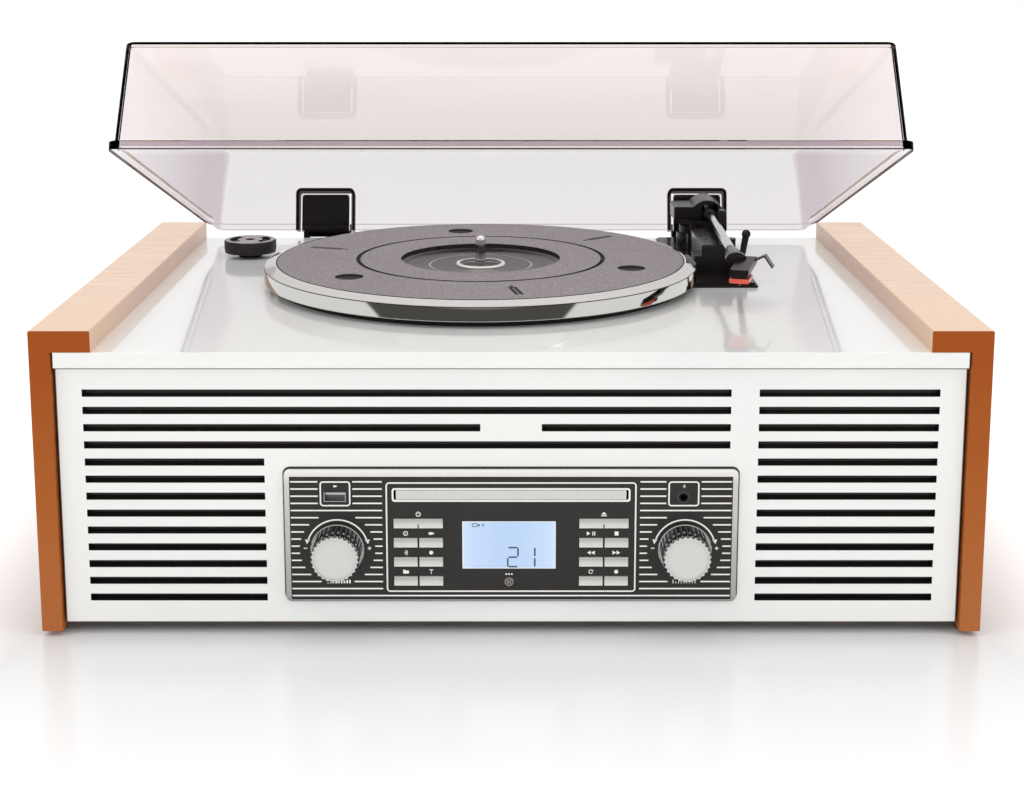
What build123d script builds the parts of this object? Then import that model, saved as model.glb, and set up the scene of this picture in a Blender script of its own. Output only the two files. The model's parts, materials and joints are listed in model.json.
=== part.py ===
from build123d import *
import os
from math import acos, cos, pi, radians, sin

os.makedirs("parts", exist_ok=True)

# The stereo music centre stands on its feet at z = 0, its front faces -Y, and x = 0 is its middle.
# All sizes are in millimetres. Places are measured back from the wooden front edges (function back),
# up from the deck's top face (function on_deck), or above the bezel's bottom edge for the control unit.

# ---- clearances ----
press = 0.02        # pieces that are pushed together
run_fit = 0.05      # radial clearance of pins and shafts
slide_gap = 0.3     # between a moving piece and its opening or its seat
seam = 0.9          # shadow gap between deck and front panel
over = 1.0          # cuts start and end this far outside a solid

# ---- cabinet ----
cab_w = 550.0       # across the wooden sides
cab_d = 377.0       # front to back of the wood
side_h = 180.5      # height of the wooden sides
side_t = 12.0       # thickness of an upright
rail_w = 35.3       # width of the wooden top rail
rail_t = 12.5       # thickness of the wooden top rail
wood_edge = 0.6     # chamfer on the wood's edges
foot_h = 3.0
foot_r = 5.0
foot_inset = 14.0   # from the front and back edges to a foot's centre
foot_edge = 0.4
side_seam = 1.7     # dark gap between the wood and the white panels
deck_t = 9.4
front_t = 9.0
front_set = 3.5     # white front face behind the wood's front edge
panel_edge = 0.5    # small round on the white panels' edges
base_t = 4.2
base_set = 6.0      # base board's front behind the white front face
rear_t = 3.2
rear_lap = 6.0      # rear panel laps this far onto the sides
screw_head_r = 3.0
screw_head_h = 1.6
screw_r = 1.5
screw_l = 12.0
screw_short = 1.0   # the screw ends this far before its hole does
screw_dome = 0.5
screw_slot_l = 4.0
screw_slot = 0.8    # width and depth
screw_inset = 12.0  # from the rear panel's top and bottom to a screw
vent_rows = 6
vent_pitch = 9.0
vent_up = 40.0
vent_w = 120.0
vent_h = 3.0

# ---- sound slots in the front panel ----
slot_h = 4.4
slot_pitch = 10.287
slot_rows = 13
slot_top = 12.3     # from the panel's top edge to the first slot
slot_in = 28.5      # outer slot ends from the cabinet's sides
slot_off = 11.2     # slots beside the control unit start this far outside the bezel
slot_bridge = 16.1  # bare strip in the rows above the control unit
badge_half = 17.7   # bare place in the third row
badge_row = 2       # counted from 0 at the top
unit_room = 4.0     # rows lower than this above the bezel stop beside it
cloth_t = 0.8
cloth_margin = 4.0
cloth_lap = 1.5     # the cloth stops this far short of the fascia's opening

# ---- control unit ----
bezel_w = 263.0
bezel_h = 80.4
bezel_low = 18.1    # bezel's bottom edge above the bottom of the wood
bezel_r = 3.5
bezel_side = 3.2
bezel_top = 4.3
bezel_bottom = 1.5
bezel_t = 3.0
bezel_edge = 0.4
fascia_t = 2.5
fascia_gap = 0.1    # round the fascia, inside the bezel
unit_lap = 3.5      # the fascia laps this far onto the front panel
board_gap = 10.0    # from the fascia's back to the circuit board
board_t = 1.6
board_in = 1.0      # board's edge inside the panel's opening
board_notch = 0.5   # round the CD mechanism
post_r = 3.0
post_in = 2.0       # from the opening's side to a post
post_low = 8.0      # lower posts above the bezel's bottom, upper ones below its top
post_down = 14.0

button_h = 5.5
button_w = 13.8
button_out = 1.2    # how far a button stands proud
button_travel = 0.6
button_flange = 0.9
button_lap = 0.6    # the flange holds behind the fascia, above and below
button_edge = 0.4
button_col = 53.9   # middle of each pair of button columns
button_pair = 14.8  # between the two columns of a pair
button_low = 12.77  # lowest row's centre above the bezel's bottom edge
button_pitch = 11.68
stem_r = 1.5
switch_h = 2.5
switch_w = 6.0

display_w = 54.4
display_h = 28.9
display_x = -1.2
display_mid = 34.55 # centre above the bezel's bottom edge
pane_t = 1.2
pane_set = 0.2      # pane's face behind the fascia's
module_side = 2.5   # display module outside its pane, at the sides and above
module_over = 2.0
module_step = 0.5   # its raised middle inside the window
sensor_r = 3.0
sensor_mid = 12.1
lens_out = 0.3
lens_edge = 0.8
lens_step = 0.5

knob_x = 101.0
knob_mid = 32.0     # centre above the bezel's bottom edge
knob_r = 14.0
knob_h = 15.0
knob_lobes = 28
lobe_r = 1.15
skirt_r = 15.7
skirt_h = 2.0
knob_face_r = 12.3
knob_face_deep = 0.6
knob_edge = 0.7
skirt_edge = 0.5
shaft_short = 2.0   # the shaft ends this far before the board
shaft_r = 3.0
pot_w = 17.0
pot_t = 6.5
pot_corner = 3.0
pot_floor = 1.5

usb_x = -102.15
usb_w = 12.9
usb_h = 5.8
socket_mid = 63.5   # USB and 3.5 mm socket centres above the bezel's bottom edge
usb_wall = 0.35
usb_gap = 0.1       # round the shell in the fascia
usb_set = 0.3       # shell's mouth behind the fascia's face
usb_floor = 1.0
tongue_w = 11.1
tongue_t = 1.8
tongue_set = 4.6    # the tongue starts this far behind the fascia's face
tongue_drop = 0.5   # below the shell's roof
aux_x = 99.9
aux_bore_r = 1.85
aux_nose_r = 2.9
aux_body = 10.0
aux_corner = 0.8
aux_out = 0.4
aux_edge = 0.3
aux_floor = 1.5

# ---- CD drawer and mechanism ----
cd_slot_w = 138.4
cd_slot_h = 8.35
cd_slot_mid = 65.0  # centre above the bezel's bottom edge
drawer_w = 133.4
drawer_h = 5.5
drawer_t = 2.2
drawer_edge = 0.4
tray_t = 3.4
tray_l = 148.0
tray_in = 3.0       # tray is this much narrower than its drawer front, each side
disc_r = 60.5
disc_deep = 1.6
disc_in = 4.0       # from the drawer's front to the recess
hub_window_r = 18.0
mech_wall = 2.5
mech_room = 4.2     # free height over the tray
mech_l = 172.0
mech_motor_w = 44.0 # motor block under the mechanism
mech_motor_l = 60.0
mech_motor_h = 12.0
mech_motor_at = 40.0
rail_w_cd = 6.0
rail_h_cd = 2.0     # the tray's rails in the channel

# ---- turntable ----
platter_x = -21.0
platter_back = 206.0
platter_r = 147.5
rim_low = 4.2       # rim's lower edge above the deck
rim_high = 13.4     # start of the bevel above the deck
bevel_w = 8.2
platter_top = 16.3
mat_t = 3.0
mat_proud = 0.2
mat_gap = 0.15
rim_t = 4.0
rim_edge = 0.5
rim_flat = 1.2      # level ring between bevel and mat
web_t = 3.6
dish_r = 52.3
dish_deep = 4.0
dish_slope = 1.6    # width of the slope from the mat's seat into the dish
dish_lift = 0.4     # dish floor's rise at its edge
dish_ring_r = 36.0
dish_step_w = 0.6
dish_step = 0.5
hub_ring_r = 16.5
hub_ring_w = 2.0
hub_ring_h = 0.7    # above the dish floor, and its foot below it
hub_slope = 0.8
hub_well = 1.4
belt_rim_r = 75.0
belt_rim_t = 3.0
belt_rim_down = 2.2 # belt rim's edge below the outer rim's
belt_up = 0.6       # belt's lower edge above the belt rim's
hub_r = 9.0
hub_down = 5.5      # hub's end below the web
groove_r = 83.7
groove_w = 1.6
groove_deep = 0.8
mat_in = 2.2        # mat's bore outside the dish
mat_edge = 0.4
oval_r = 108.0
oval_l = 18.0
oval_w = 11.0
oval_deep = 0.7
oval_first = -21.0  # angle of the first oval round the mat
slit_in = 100.0
slit_l = 26.0
slit_w = 1.3
dot_r = 1.6
slit_first = 42.0
spindle_r = 3.55
spindle_high = 32.0 # spindle's top above the deck
nose_flat = 0.6     # radius of the nose's flat top
journal_r = 4.0     # thicker part of the spindle below the hub's well
bearing_deep = 25.0
bearing_floor = 3.0
bearing_cap = 1.5   # below the bearing's floor
bearing_room = 1.0  # round the bush in the deck
bush_t = 4.5
well_r = 140.0
well_rim = 12.0
well_h = 3.9
well_floor = 1.5
well_edge = 0.5
pulley_r = 6.0
pulley_angle = 150.0
pulley_out = 21.0   # pulley's centre outside the belt rim
pulley_h = 6.0
pulley_flange = 1.2
flange_t = 0.2
shaft_deep = 10.0   # pulley's shaft in the motor, below the deck
motor_r = 16.0
motor_l = 24.0
motor_edge = 2.0
motor_room = 0.5    # round the motor in the deck
motor_bore = 12.0
end_boss_r = 4.0    # boss on the motor's lower end
end_boss_h = 2.5
motor_shaft_r = 1.0
belt_t = 0.8
belt_h = 4.0

# ---- 45 rpm adapter ----
adapter_in = 81.5   # adapter's centre from the cabinet's left side
adapter_back = 300.0
adapter_r = 19.05
adapter_h = 6.2
adapter_edge = 0.8
adapter_bore_r = 3.6
post_pin_r = 3.3
post_h = 6.0
post_disc_r = 8.5
post_pin_h = 4.5
post_pin_edge = 0.6
crescent_in = 9.0
crescent_out = 15.0
crescent_deep = 1.6
crescent_arc = 100.0

# ---- record arm ----
arm_room = 22.5     # arm's pivot outside the platter's rim, and behind the spindle
arm_behind = 137.0
arm_high = 29.0     # arm tube's axis above the deck
arm_yaw = 1.2       # degrees that the parked arm points inward
arm_r = 3.2
arm_reach = 176.0   # pivot to the start of the end collar
plate_w = 54.0
plate_l = 182.0
plate_t = 3.0
plate_step = 1.2
step_in = 1.5       # upper step inside the plate's edge, and at its front
step_front = 3.0
plate_out = 36.5    # plate's left edge beside the pivot, and its rear edge behind it
plate_behind = 21.0
pedestal_out = 16.5 # pedestal's left side beside the pivot, and its rear face ahead of it
pedestal_w = 22.5
pedestal_ahead = 53.0
pedestal_l = 67.0
pedestal_h = 22.0
pedestal_edge = 1.0
shelf_w = 5.0
shelf_l = 20.0
shelf_h = 14.0
turret_out = 5.0    # turret's centre beside the pivot
turret_ahead = 1.0
turret_step = 8.0   # height of the wider part
turret_r = 17.5
turret_r2 = 15.5
rest_ahead = 46.0   # arm rest ahead of the pivot
rest_t = 8.0
rest_slot = 4.6     # half width between the tube and the tall post
rest_post = 5.6
rest_high = 35.0    # tall post's top above the deck
rest_low = 21.0
rest_in = 10.0      # rest's inner side, its step and its cradle inside the tube's line
rest_step = 6.0
cradle_in = 3.5
post_slope = 1.2    # bevels on the tall post's top
post_bevel_w = 0.8
post_bevel_h = 1.5
knob_post_r = 4.3
knob_post_ahead = 81.0
knob_post_h = 20.0  # its top above the deck
knob_post_out = 2.0 # its centre outside the pedestal
hood_w = 24.0
hood_out = 13.7     # hood's left wall beside the pivot
hood_l = 35.0
hood_ahead = 23.0   # hood's front ahead of the pivot
hood_top = 38.4
hood_wall_h = 31.0
hood_h = 21.4
hood_edge = 0.6
tube_room = 6.0     # half width of the hood's tunnel
hood_t = 1.5        # hood's thickness over the tunnel
tunnel_down = 4.5   # tunnel's floor below the tube
block_w = 13.0
block_l = 31.0
block_low = 22.5
block_high = 33.5
block_in = 1.5      # side block's reach into the hood
block_edge = 1.0
cross_pin_r = 1.5
cross_pin_l = 18.0
exit_r = 4.2
exit_gap = 1.6      # collar ahead of the hood, so that it clears when the arm is raised
exit_l = 9.0
exit_edge = 0.5
collar_l = 36.0
collar_w = 13.6
collar_h = 9.6
collar_flat = 5.0
collar_wall = 1.1
collar_deep = 1.2   # recess in the collar's front end
weight_r = 8.0
weight_start = 16.0
weight_l = 9.5
weight_edge = 0.6
tube_in_weight = 2.0

head_l = 40.0
head_w = 11.5
head_yaw = 16.0
head_side = 4.0     # headshell's middle beside the tube's line, and ahead of the collar's end
head_ahead = 8.0
head_rear_top = 30.3
head_nose_top = 27.2
head_rear_t = 4.6
head_nose_t = 3.4
nose_in = 1.5       # slope of the nose
nose_l = 12.0       # level underside at the nose
heel_l = 6.0        # level top at the heel, and how far it drops behind
heel_drop = 1.0
head_edge = 0.4
socket_l = 14.0     # collar's room in the headshell
socket_over = 0.2
finger_w = 8.0
finger_in = 0.5     # finger lift's root inside the headshell
finger_back = 4.0   # its rear edge ahead of the heel
finger_down = 1.4   # its root below the top
finger_slope = 5.0  # width of the drooping end
finger_tip = 0.8    # thickness of the drooping end, across and up
finger_tip_h = 0.5
finger_bend = 0.6   # outer and inner bend at the peak
finger_bend_in = 0.4
finger_t = 1.0
finger_out = 6.0
finger_rise = 3.2
finger_drop = 8.0
cart_l = 17.0
cart_w = 10.0
cart_low = 21.6     # cartridge's lower face above the deck
cart_set = 1.0      # behind the headshell's nose
cart_wedge = 6.0    # wedge that fills the headshell's slope
cart_edge = 0.6
stylus_l = 17.0
stylus_w = 12.6
stylus_low = 18.6
stylus_set = 0.2    # behind the headshell's nose
stylus_edge = 0.8
tip_low = 17.2      # stylus tip above the deck
tip_r = 0.5
tip_set = 3.5       # behind the carrier's front
tip_in = 0.5        # into the carrier

cue_side = 7.0      # lever beside and ahead of the arm's pivot
cue_ahead = 143.0
cue_pivot_high = 8.0
cue_lean = 9.0
cue_l = 26.0
cue_rod_r = 1.9
cue_head_r = 3.1
cue_barrel_r = 3.0
cue_barrel_l = 5.0
cue_pin_r = 1.2
cue_ear_t = 2.5
cue_ear_r = 3.5
cue_taper = -1.0    # degrees that the lever widens
lift_radius = 36.0
lift_bar_w = 3.6
lift_bar_t = 2.4
lift_from = 229.0
lift_to = 268.0
lift_stem_at = 248.0
lift_stem_r = 2.0
lift_guide_r = 4.5
lift_guide_h = 12.0
lift_travel = 5.0
lift_clear = 1.3    # lift bar below the parked tube
guide_floor = 1.0   # stem's hole ends this far above the deck

# ---- lid ----
lid_open = 17.1     # degrees, as in the photograph
lid_l = 363.7       # body at the rim, without the lip
lid_in = 10.0       # lid's side walls inside the wooden rails
lid_h = 64.6
lid_draft = 4.7     # each wall leans in this far over its height
lid_wall = 3.0
lid_r = 7.0         # vertical corners
lid_r_least = 1.0   # smallest corner radius of an inner outline
lid_edge = 1.6
lid_lip = 2.8
lid_lip_h = 5.0
lip_in = 1.0        # the lip's roots inside the walls
lid_lip_fade = 50.0 # the lip runs out over this length at the back
lid_gap = 0.8       # closed rim above the deck
lid_back_gap = 1.0  # closed rear rim ahead of the cabinet's rear
pivot_behind = 16.0 # hinge axis behind the cabinet's rear
pivot_high = 3.0    # hinge axis above the deck
hinge_in = 83.7     # hinges inside the lid's side walls
arm_w = 36.9
arm_t = 5.0
arm_up = 28.5
arm_corner = 3.0
arm_behind_lid = 0.2
neck_w = 28.0
neck_high = 4.2     # neck's top above the hinge axis
neck_down = 0.5     # neck's root below the rim, and its end above the barrel's bottom
neck_rise = 1.0
barrel_r = 5.0
hinge_pin_r = 2.0
socket_wall = 4.2
socket_play = 0.1   # between an arm and its socket
socket_back_wall = 3.0
socket_r = 4.0
notch_in = 1.0      # the neck's notch starts this far into the arm
base_plate_h = 32.0
base_plate_t = 3.0
base_corner = 2.0
base_shelf = 4.0
base_drop = 1.0     # bracket's top below the barrel
ear_behind = 2.0    # bracket's reach behind the hinge axis
ear_t = 4.4

# ---- inside and rear ----
speaker_mid = 88.0
speaker_r = 51.0
speaker_deep = 46.0
basket_rim_t = 2.5
basket_lap = 1.0    # basket's rim outside the cone
basket_flank = 3.0
basket_foot = 6.0   # basket's end inside the magnet's edge
basket_wall = 1.5
pole_sunk = 3.0     # cone-shaped floor of the basket over the magnet
pole_out = 4.0
pole_rise = 2.0
magnet_r = 30.0
magnet_t = 14.0
cone_r = 40.0
window_w = 18.0     # openings in a basket
cap_r = 12.0        # dust cap
cap_rise = 3.0
cap_t = 1.0
cone_short = 12.0   # the cone ends this far ahead of the magnet
cone_front = 1.2    # cone's outer edge behind the cloth
paper_t = 1.4       # cone's thickness at its edge and at the cap
cone_t = 1.6
surround_out = 0.9  # surround's outer edge, roll and inner edge from the cone's radius
surround_mid = 3.0
surround_in = 6.0
surround_low = 0.3  # surround's outer edge behind the cloth
surround_t = 1.2
roll_front = 0.5
roll_back = 3.4
window_in = 1.0     # openings start outside the magnet and end outside the cone
window_out = 6.0
window_from = 8.0
window_to = 6.0
iron_in = 93.0      # transformer inside the left upright, and ahead of the cabinet's rear
iron_ahead = 87.0
iron_w = 56.0
iron_h = 44.0
iron_t = 24.0
iron_foot_w = 76.0
iron_foot_t = 3.0
coil_w = 38.0
coil_h = 30.0
coil_t = 48.0
coil_up = 10.0
coil_corner = 5.0
gland_in = 63.0     # gland inside the left upright
gland_up = 36.0
gland_r = 5.5
gland_cord_r = 3.3
gland_inside = 7.0  # ends of the gland inside and outside the rear face
gland_outside = 8.0
gland_lip = 1.2
gland_flange = 2.0
gland_flange_t = 3.0
line_in = 93.0      # sockets inside the right upright
line_up = 60.0
line_pitch = 18.0
line_r = 4.15
line_l = 9.0        # barrel beyond its collar
line_neck_r = 3.6   # neck in the rear panel
line_collar_r = 6.0
line_collar_t = 1.2
line_hole_r = 1.6
line_body_t = 6.0   # common body inside the panel
line_body_h = 18.0
line_side = 3.0

# ---- derived levels ----
front_y = -cab_d / 2
deck_z = foot_h + side_h - rail_t
unit_z = foot_h + bezel_low
panel_y = front_y + front_set
bezel_y = panel_y - bezel_t
fascia_y = panel_y - fascia_t
board_y = panel_y + board_gap
deck_half = cab_w / 2 - side_t - side_seam
inner_half = cab_w / 2 - side_t
slot_end = cab_w / 2 - slot_in
slot_split = bezel_w / 2 + slot_off
slot_long = slot_split - slot_bridge
speaker_x = (slot_split + slot_end) / 2
axis_z = deck_z + arm_high
arm_x = platter_x + platter_r + arm_room
arm_back = platter_back + arm_behind
plate_left = arm_x - plate_out
pedestal_left = arm_x - pedestal_out
turret_x = arm_x - turret_out
hood_left = arm_x - hood_out
hood_front = arm_back - hood_ahead
rest_back = arm_back - rest_ahead
cue_x = arm_x + cue_side
cue_back = arm_back - cue_ahead
adapter_x = adapter_in - cab_w / 2
lid_half = cab_w / 2 - rail_w - lid_in
lid_back = cab_d - lid_back_gap
hinge_x = lid_half - hinge_in
transformer_x = iron_in - inner_half
gland_x = gland_in - inner_half
line_x = inner_half - line_in
pivot_y = front_y + cab_d + pivot_behind
pivot_z = deck_z + pivot_high
platter_y = front_y + platter_back
mat_r = platter_r - bevel_w


def back(distance):
    """y of a place this far behind the wooden front edges."""
    return front_y + distance


def on_deck(height):
    """z of a place this far above the deck."""
    return deck_z + height


def block(x0, x1, y0, y1, z0, z1):
    """A plain box between two corners."""
    return Pos((x0 + x1) / 2, (y0 + y1) / 2, (z0 + z1) / 2) * Box(x1 - x0, y1 - y0, z1 - z0)


def rod_x(y, z, r, x0, x1):
    return Pos((x0 + x1) / 2, y, z) * Rot(0, 90, 0) * Cylinder(r, x1 - x0)


def rod_y(x, z, r, y0, y1):
    return Pos(x, (y0 + y1) / 2, z) * Rot(90, 0, 0) * Cylinder(r, y1 - y0)


def rod_z(x, y, r, z0, z1):
    return Pos(x, y, (z0 + z1) / 2) * Cylinder(r, z1 - z0)


def lathe(points, x, y):
    """Solid of revolution about the vertical axis at x, y from (radius, z) points."""
    profile = Plane.XZ * make_face(Polyline(*points, close=True))
    return Pos(x, y, 0) * revolve(profile, Axis.Z)


def lathe_y(points, x, z):
    """Solid of revolution about the front-to-back axis at x, z from (radius, y) points."""
    profile = Plane.XY * make_face(Polyline(*points, close=True))
    return Pos(x, 0, z) * revolve(profile, Axis.Y)


def side_profile(points, x0, x1):
    """Extrusion from x0 to x1 of an outline given as (y, z) points."""
    face = Plane.YZ * make_face(Polyline(*points, close=True))
    return Pos(x0, 0, 0) * extrude(face, x1 - x0, dir=(1, 0, 0))


def front_profile(points, y0, y1):
    """Extrusion from y0 back to y1 of an outline given as (x, z) points."""
    face = Plane.XZ * make_face(Polyline(*points, close=True))
    return Pos(0, y0, 0) * extrude(face, y1 - y0, dir=(0, 1, 0))


def round_plate(w, h, r, x, z, y0, y1):
    """Upright plate with rounded corners, seen from the front."""
    face = Plane.XZ * RectangleRounded(w, h, r)
    return Pos(x, y0, z) * extrude(face, y1 - y0, dir=(0, 1, 0))


def save(shape, name):
    export_step(shape, "parts/" + name + ".step")


# ---- cabinet ----

def side_panel(sign):
    """Upright with the wide top rail that laps over the deck, and the rabbet for the rear panel."""
    outer = cab_w / 2
    top = foot_h + side_h
    outline = [(outer - side_t, foot_h), (outer, foot_h), (outer, top), (outer - rail_w, top),
               (outer - rail_w, deck_z), (outer - side_t, deck_z)]
    body = front_profile(outline, front_y, front_y + cab_d)
    outside = body.edges().filter_by(Axis.Y).group_by(Axis.Z)[-1]
    body = chamfer(outside, wood_edge)
    rear = front_y + cab_d
    body -= block(inner_half - over, inner_half + rear_lap, rear - rear_t, rear + over,
                  foot_h - over, deck_z - deck_t)
    for z in screw_heights():
        body -= rod_y(screw_x(), z, screw_r + press, rear - rear_t - screw_l, rear)
    return body if sign > 0 else mirror(body, Plane.YZ)


def screw_x():
    return inner_half + rear_lap / 2


def screw_heights():
    low = foot_h + screw_inset
    high = deck_z - deck_t - screw_inset
    return [low, (low + high) / 2, high]


def cabinet_screws():
    """Six dome-headed screws that hold the rear panel to the sides."""
    rear = front_y + cab_d
    screws = []
    for x in (-screw_x(), screw_x()):
        for z in screw_heights():
            head = lathe_y([(0, rear), (screw_head_r, rear), (screw_head_r - screw_dome, rear + screw_head_h),
                            (0, rear + screw_head_h)], x, z)
            screw = head + rod_y(x, z, screw_r, rear - rear_t - screw_l + screw_short, rear)
            half = screw_slot_l / 2
            top = rear + screw_head_h
            screw -= block(x - half, x + half, top - screw_slot, top + over,
                           z - screw_slot / 2, z + screw_slot / 2)
            screws.append(screw)
    return Compound(children=screws)


def rubber_feet():
    feet = []
    for x in (-1, 1):
        for y in (front_y + foot_inset, front_y + cab_d - foot_inset):
            place = Pos(x * (cab_w - side_t) / 2, y, foot_h / 2)
            foot = Cylinder(foot_r, foot_h)
            foot = chamfer(foot.edges().group_by(Axis.Z)[0], foot_edge)
            feet.append(place * foot)
    return Compound(children=feet)


def deck_board():
    """White deck, with holes for the platter bearing, the motor and the lift's guide."""
    rear = front_y + cab_d
    board = block(-deck_half, deck_half, front_y, rear, deck_z - deck_t, deck_z)
    board = fillet(board.edges().filter_by(Axis.X).group_by(Axis.Y)[0], panel_edge)
    board -= rod_z(platter_x, platter_y, journal_r + bush_t + bearing_room, deck_z - deck_t - over,
                   deck_z + over)
    px, py = pulley_place()
    board -= rod_z(px, py, motor_r + motor_room, deck_z - deck_t - over, deck_z + over)
    return board


def slot_spans(row):
    """Left and right ends of the slots in one row, counted from the top."""
    panel_top = deck_z - deck_t - seam
    low = panel_top - slot_top - row * slot_pitch - slot_h
    right = (slot_split, slot_end)
    if low < unit_z + bezel_h + unit_room:
        return low, [(-slot_end, -slot_split), right]
    if row == badge_row:
        return low, [(-slot_end, -badge_half), (badge_half, slot_long), right]
    return low, [(-slot_end, slot_long), right]


def front_panel():
    """White front with thirteen rows of sound slots and the opening for the control unit."""
    top = deck_z - deck_t - seam
    low = foot_h + base_t + slide_gap
    panel = block(-deck_half, deck_half, panel_y, panel_y + front_t, low, top)
    panel = fillet(panel.edges().filter_by(Axis.X).group_by(Axis.Y)[0], panel_edge)
    for row in range(slot_rows):
        z, spans = slot_spans(row)
        for x0, x1 in spans:
            panel -= block(x0, x1, panel_y - over, panel_y + front_t + over, z, z + slot_h)
    x, z0, z1 = unit_inner(unit_lap)
    panel -= block(-x, x, panel_y - over, panel_y + front_t + over, z0, z1)
    return panel


def unit_inner(inset):
    """Half width, bottom and top of the bezel's inner outline, drawn in by inset."""
    x = bezel_w / 2 - bezel_side - inset
    return x, unit_z + bezel_bottom + inset, unit_z + bezel_h - bezel_top - inset


def grille_cloth():
    """Black cloth behind the slots, cut out round the control unit."""
    y0 = panel_y + front_t
    top = deck_z - deck_t - seam - slot_top + cloth_margin
    low = slot_spans(slot_rows - 1)[0] - cloth_margin
    cloth = block(-slot_end - cloth_margin, slot_end + cloth_margin, y0, y0 + cloth_t, low, top)
    x, z0, z1 = unit_inner(unit_lap - cloth_lap)
    cloth -= block(-x, x, y0 - over, y0 + cloth_t + over, low - over, z1)
    return cloth


def base_board():
    rear = front_y + cab_d - rear_t
    edge = inner_half - slide_gap
    return block(-edge, edge, panel_y + base_set, rear, foot_h, foot_h + base_t)


def rear_panel():
    """Rear panel in the sides' rabbets, with air slots and the holes for gland and sockets."""
    rear = front_y + cab_d
    edge = inner_half + rear_lap - slide_gap
    panel = block(-edge, edge, rear - rear_t, rear, foot_h, deck_z - deck_t - slide_gap)
    for x in (-screw_x(), screw_x()):
        for z in screw_heights():
            panel -= rod_y(x, z, screw_r + press, rear - rear_t - over, rear + over)
    panel -= rod_y(gland_x, foot_h + gland_up, gland_r, rear - rear_t - over, rear + over)
    for side in (-1, 1):
        x = line_x + side * line_pitch / 2
        panel -= rod_y(x, foot_h + line_up, line_neck_r + press, rear - rear_t - over, rear + over)
    for row in range(vent_rows):
        z = foot_h + vent_up + row * vent_pitch
        panel -= block(-vent_w / 2, vent_w / 2, rear - rear_t - over, rear + over, z, z + vent_h)
    return panel


# ---- control unit ----

def control_bezel():
    """Flat silver frame with rounded outer corners."""
    mid = unit_z + bezel_h / 2
    frame = round_plate(bezel_w, bezel_h, bezel_r, 0, mid, bezel_y, panel_y)
    frame = chamfer(frame.edges().group_by(Axis.Y)[0], bezel_edge)
    x, z0, z1 = unit_inner(0)
    return frame - block(-x, x, bezel_y - over, panel_y + over, z0, z1)


def button_table():
    """Name, centre x, centre z and width of each push button."""
    rows = [unit_z + button_low + n * button_pitch for n in (3, 2, 1, 0)]
    half = button_pair / 2
    wide = button_pair + button_w
    left = ["cd_button", "usb_button", "wireless_button", "phono_button", "folder_button", "radio_button"]
    right = ["play_button", "stop_button", "back_button", "forward_button", "mode_button", "record_button"]
    table = [("power_button", -button_col, rows[0], wide), ("open_button", button_col, rows[0], wide)]
    for side, names in ((-1, left), (1, right)):
        for n, name in enumerate(names):
            x = side * button_col + (half if n % 2 else -half)
            table.append((name, x, rows[1 + n // 2], button_w))
    return table


def push_button(x, z, w):
    """Moulded button: proud cap, flange behind the fascia and stem to its switch."""
    face = fascia_y - button_out
    cap = block(x - w / 2, x + w / 2, face, panel_y + slide_gap, z - button_h / 2, z + button_h / 2)
    cap = fillet(cap.edges().group_by(Axis.Y)[0], button_edge)
    y1 = panel_y + slide_gap
    lap = slide_gap + button_lap
    cap += block(x - w / 2, x + w / 2, y1, y1 + button_flange, z - button_h / 2 - lap, z + button_h / 2 + lap)
    end = board_y - switch_h - button_travel - slide_gap
    return cap + rod_y(x, z, stem_r, y1, end)


def display_mid_z():
    return unit_z + display_mid


def control_fascia():
    """Black plate with windows for display, buttons, drawer, sockets and knob shafts."""
    x, z0, z1 = unit_inner(0)
    plate = block(-x + fascia_gap, x - fascia_gap, fascia_y, panel_y, z0 + fascia_gap, z1 - fascia_gap)
    for name, bx, bz, w in button_table():
        gap = slide_gap
        plate -= block(bx - w / 2 - gap, bx + w / 2 + gap, fascia_y - over, panel_y + over,
                       bz - button_h / 2 - gap, bz + button_h / 2 + gap)
    plate -= block(display_x - display_w / 2, display_x + display_w / 2, fascia_y - over, panel_y + over,
                   display_mid_z() - display_h / 2, display_mid_z() + display_h / 2)
    plate -= rod_y(display_x, unit_z + sensor_mid, sensor_r + press, fascia_y - over, panel_y + over)
    slot_z = unit_z + cd_slot_mid
    plate -= block(-cd_slot_w / 2, cd_slot_w / 2, fascia_y - over, panel_y + over,
                   slot_z - cd_slot_h / 2, slot_z + cd_slot_h / 2)
    z = unit_z + socket_mid
    plate -= block(usb_x - usb_w / 2, usb_x + usb_w / 2, fascia_y - over, panel_y + over,
                   z - usb_h / 2, z + usb_h / 2)
    plate -= rod_y(aux_x, z, aux_nose_r + press, fascia_y - over, panel_y + over)
    for side in (-1, 1):
        plate -= rod_y(side * knob_x, unit_z + knob_mid, shaft_r + slide_gap, fascia_y - over, panel_y + over)
        for level in (post_low, bezel_h - post_down):
            plate += rod_y(side * board_post_x(), unit_z + level, post_r, panel_y, board_y)
    return plate


def board_post_x():
    return bezel_w / 2 - bezel_side - unit_lap - post_r - post_in


def main_board():
    """Circuit board with the button switches and the two rotary controls."""
    x, z0, z1 = unit_inner(unit_lap + board_in)
    y1 = board_y + board_t
    board = block(-x, x, board_y, y1, z0, z1)
    notch = mech_half() + board_notch
    board -= block(-notch, notch, board_y - over, y1 + over, mech_low() - board_notch, z1 + over)
    for name, bx, bz, w in button_table():
        half = switch_w / 2
        board += block(bx - half, bx + half, board_y - switch_h, board_y,
                       bz - button_h / 2, bz + button_h / 2)
    for side in (-1, 1):
        kx = side * knob_x
        kz = unit_z + knob_mid
        half = pot_w / 2
        pot = block(kx - half, kx + half, board_y - pot_t, board_y, kz - half, kz + half)
        pot = chamfer(pot.edges().filter_by(Axis.Y), pot_corner)
        pot -= rod_y(kx, kz, shaft_r + run_fit, board_y - pot_t - over, board_y - pot_floor)
        board += pot
    return board


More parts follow.
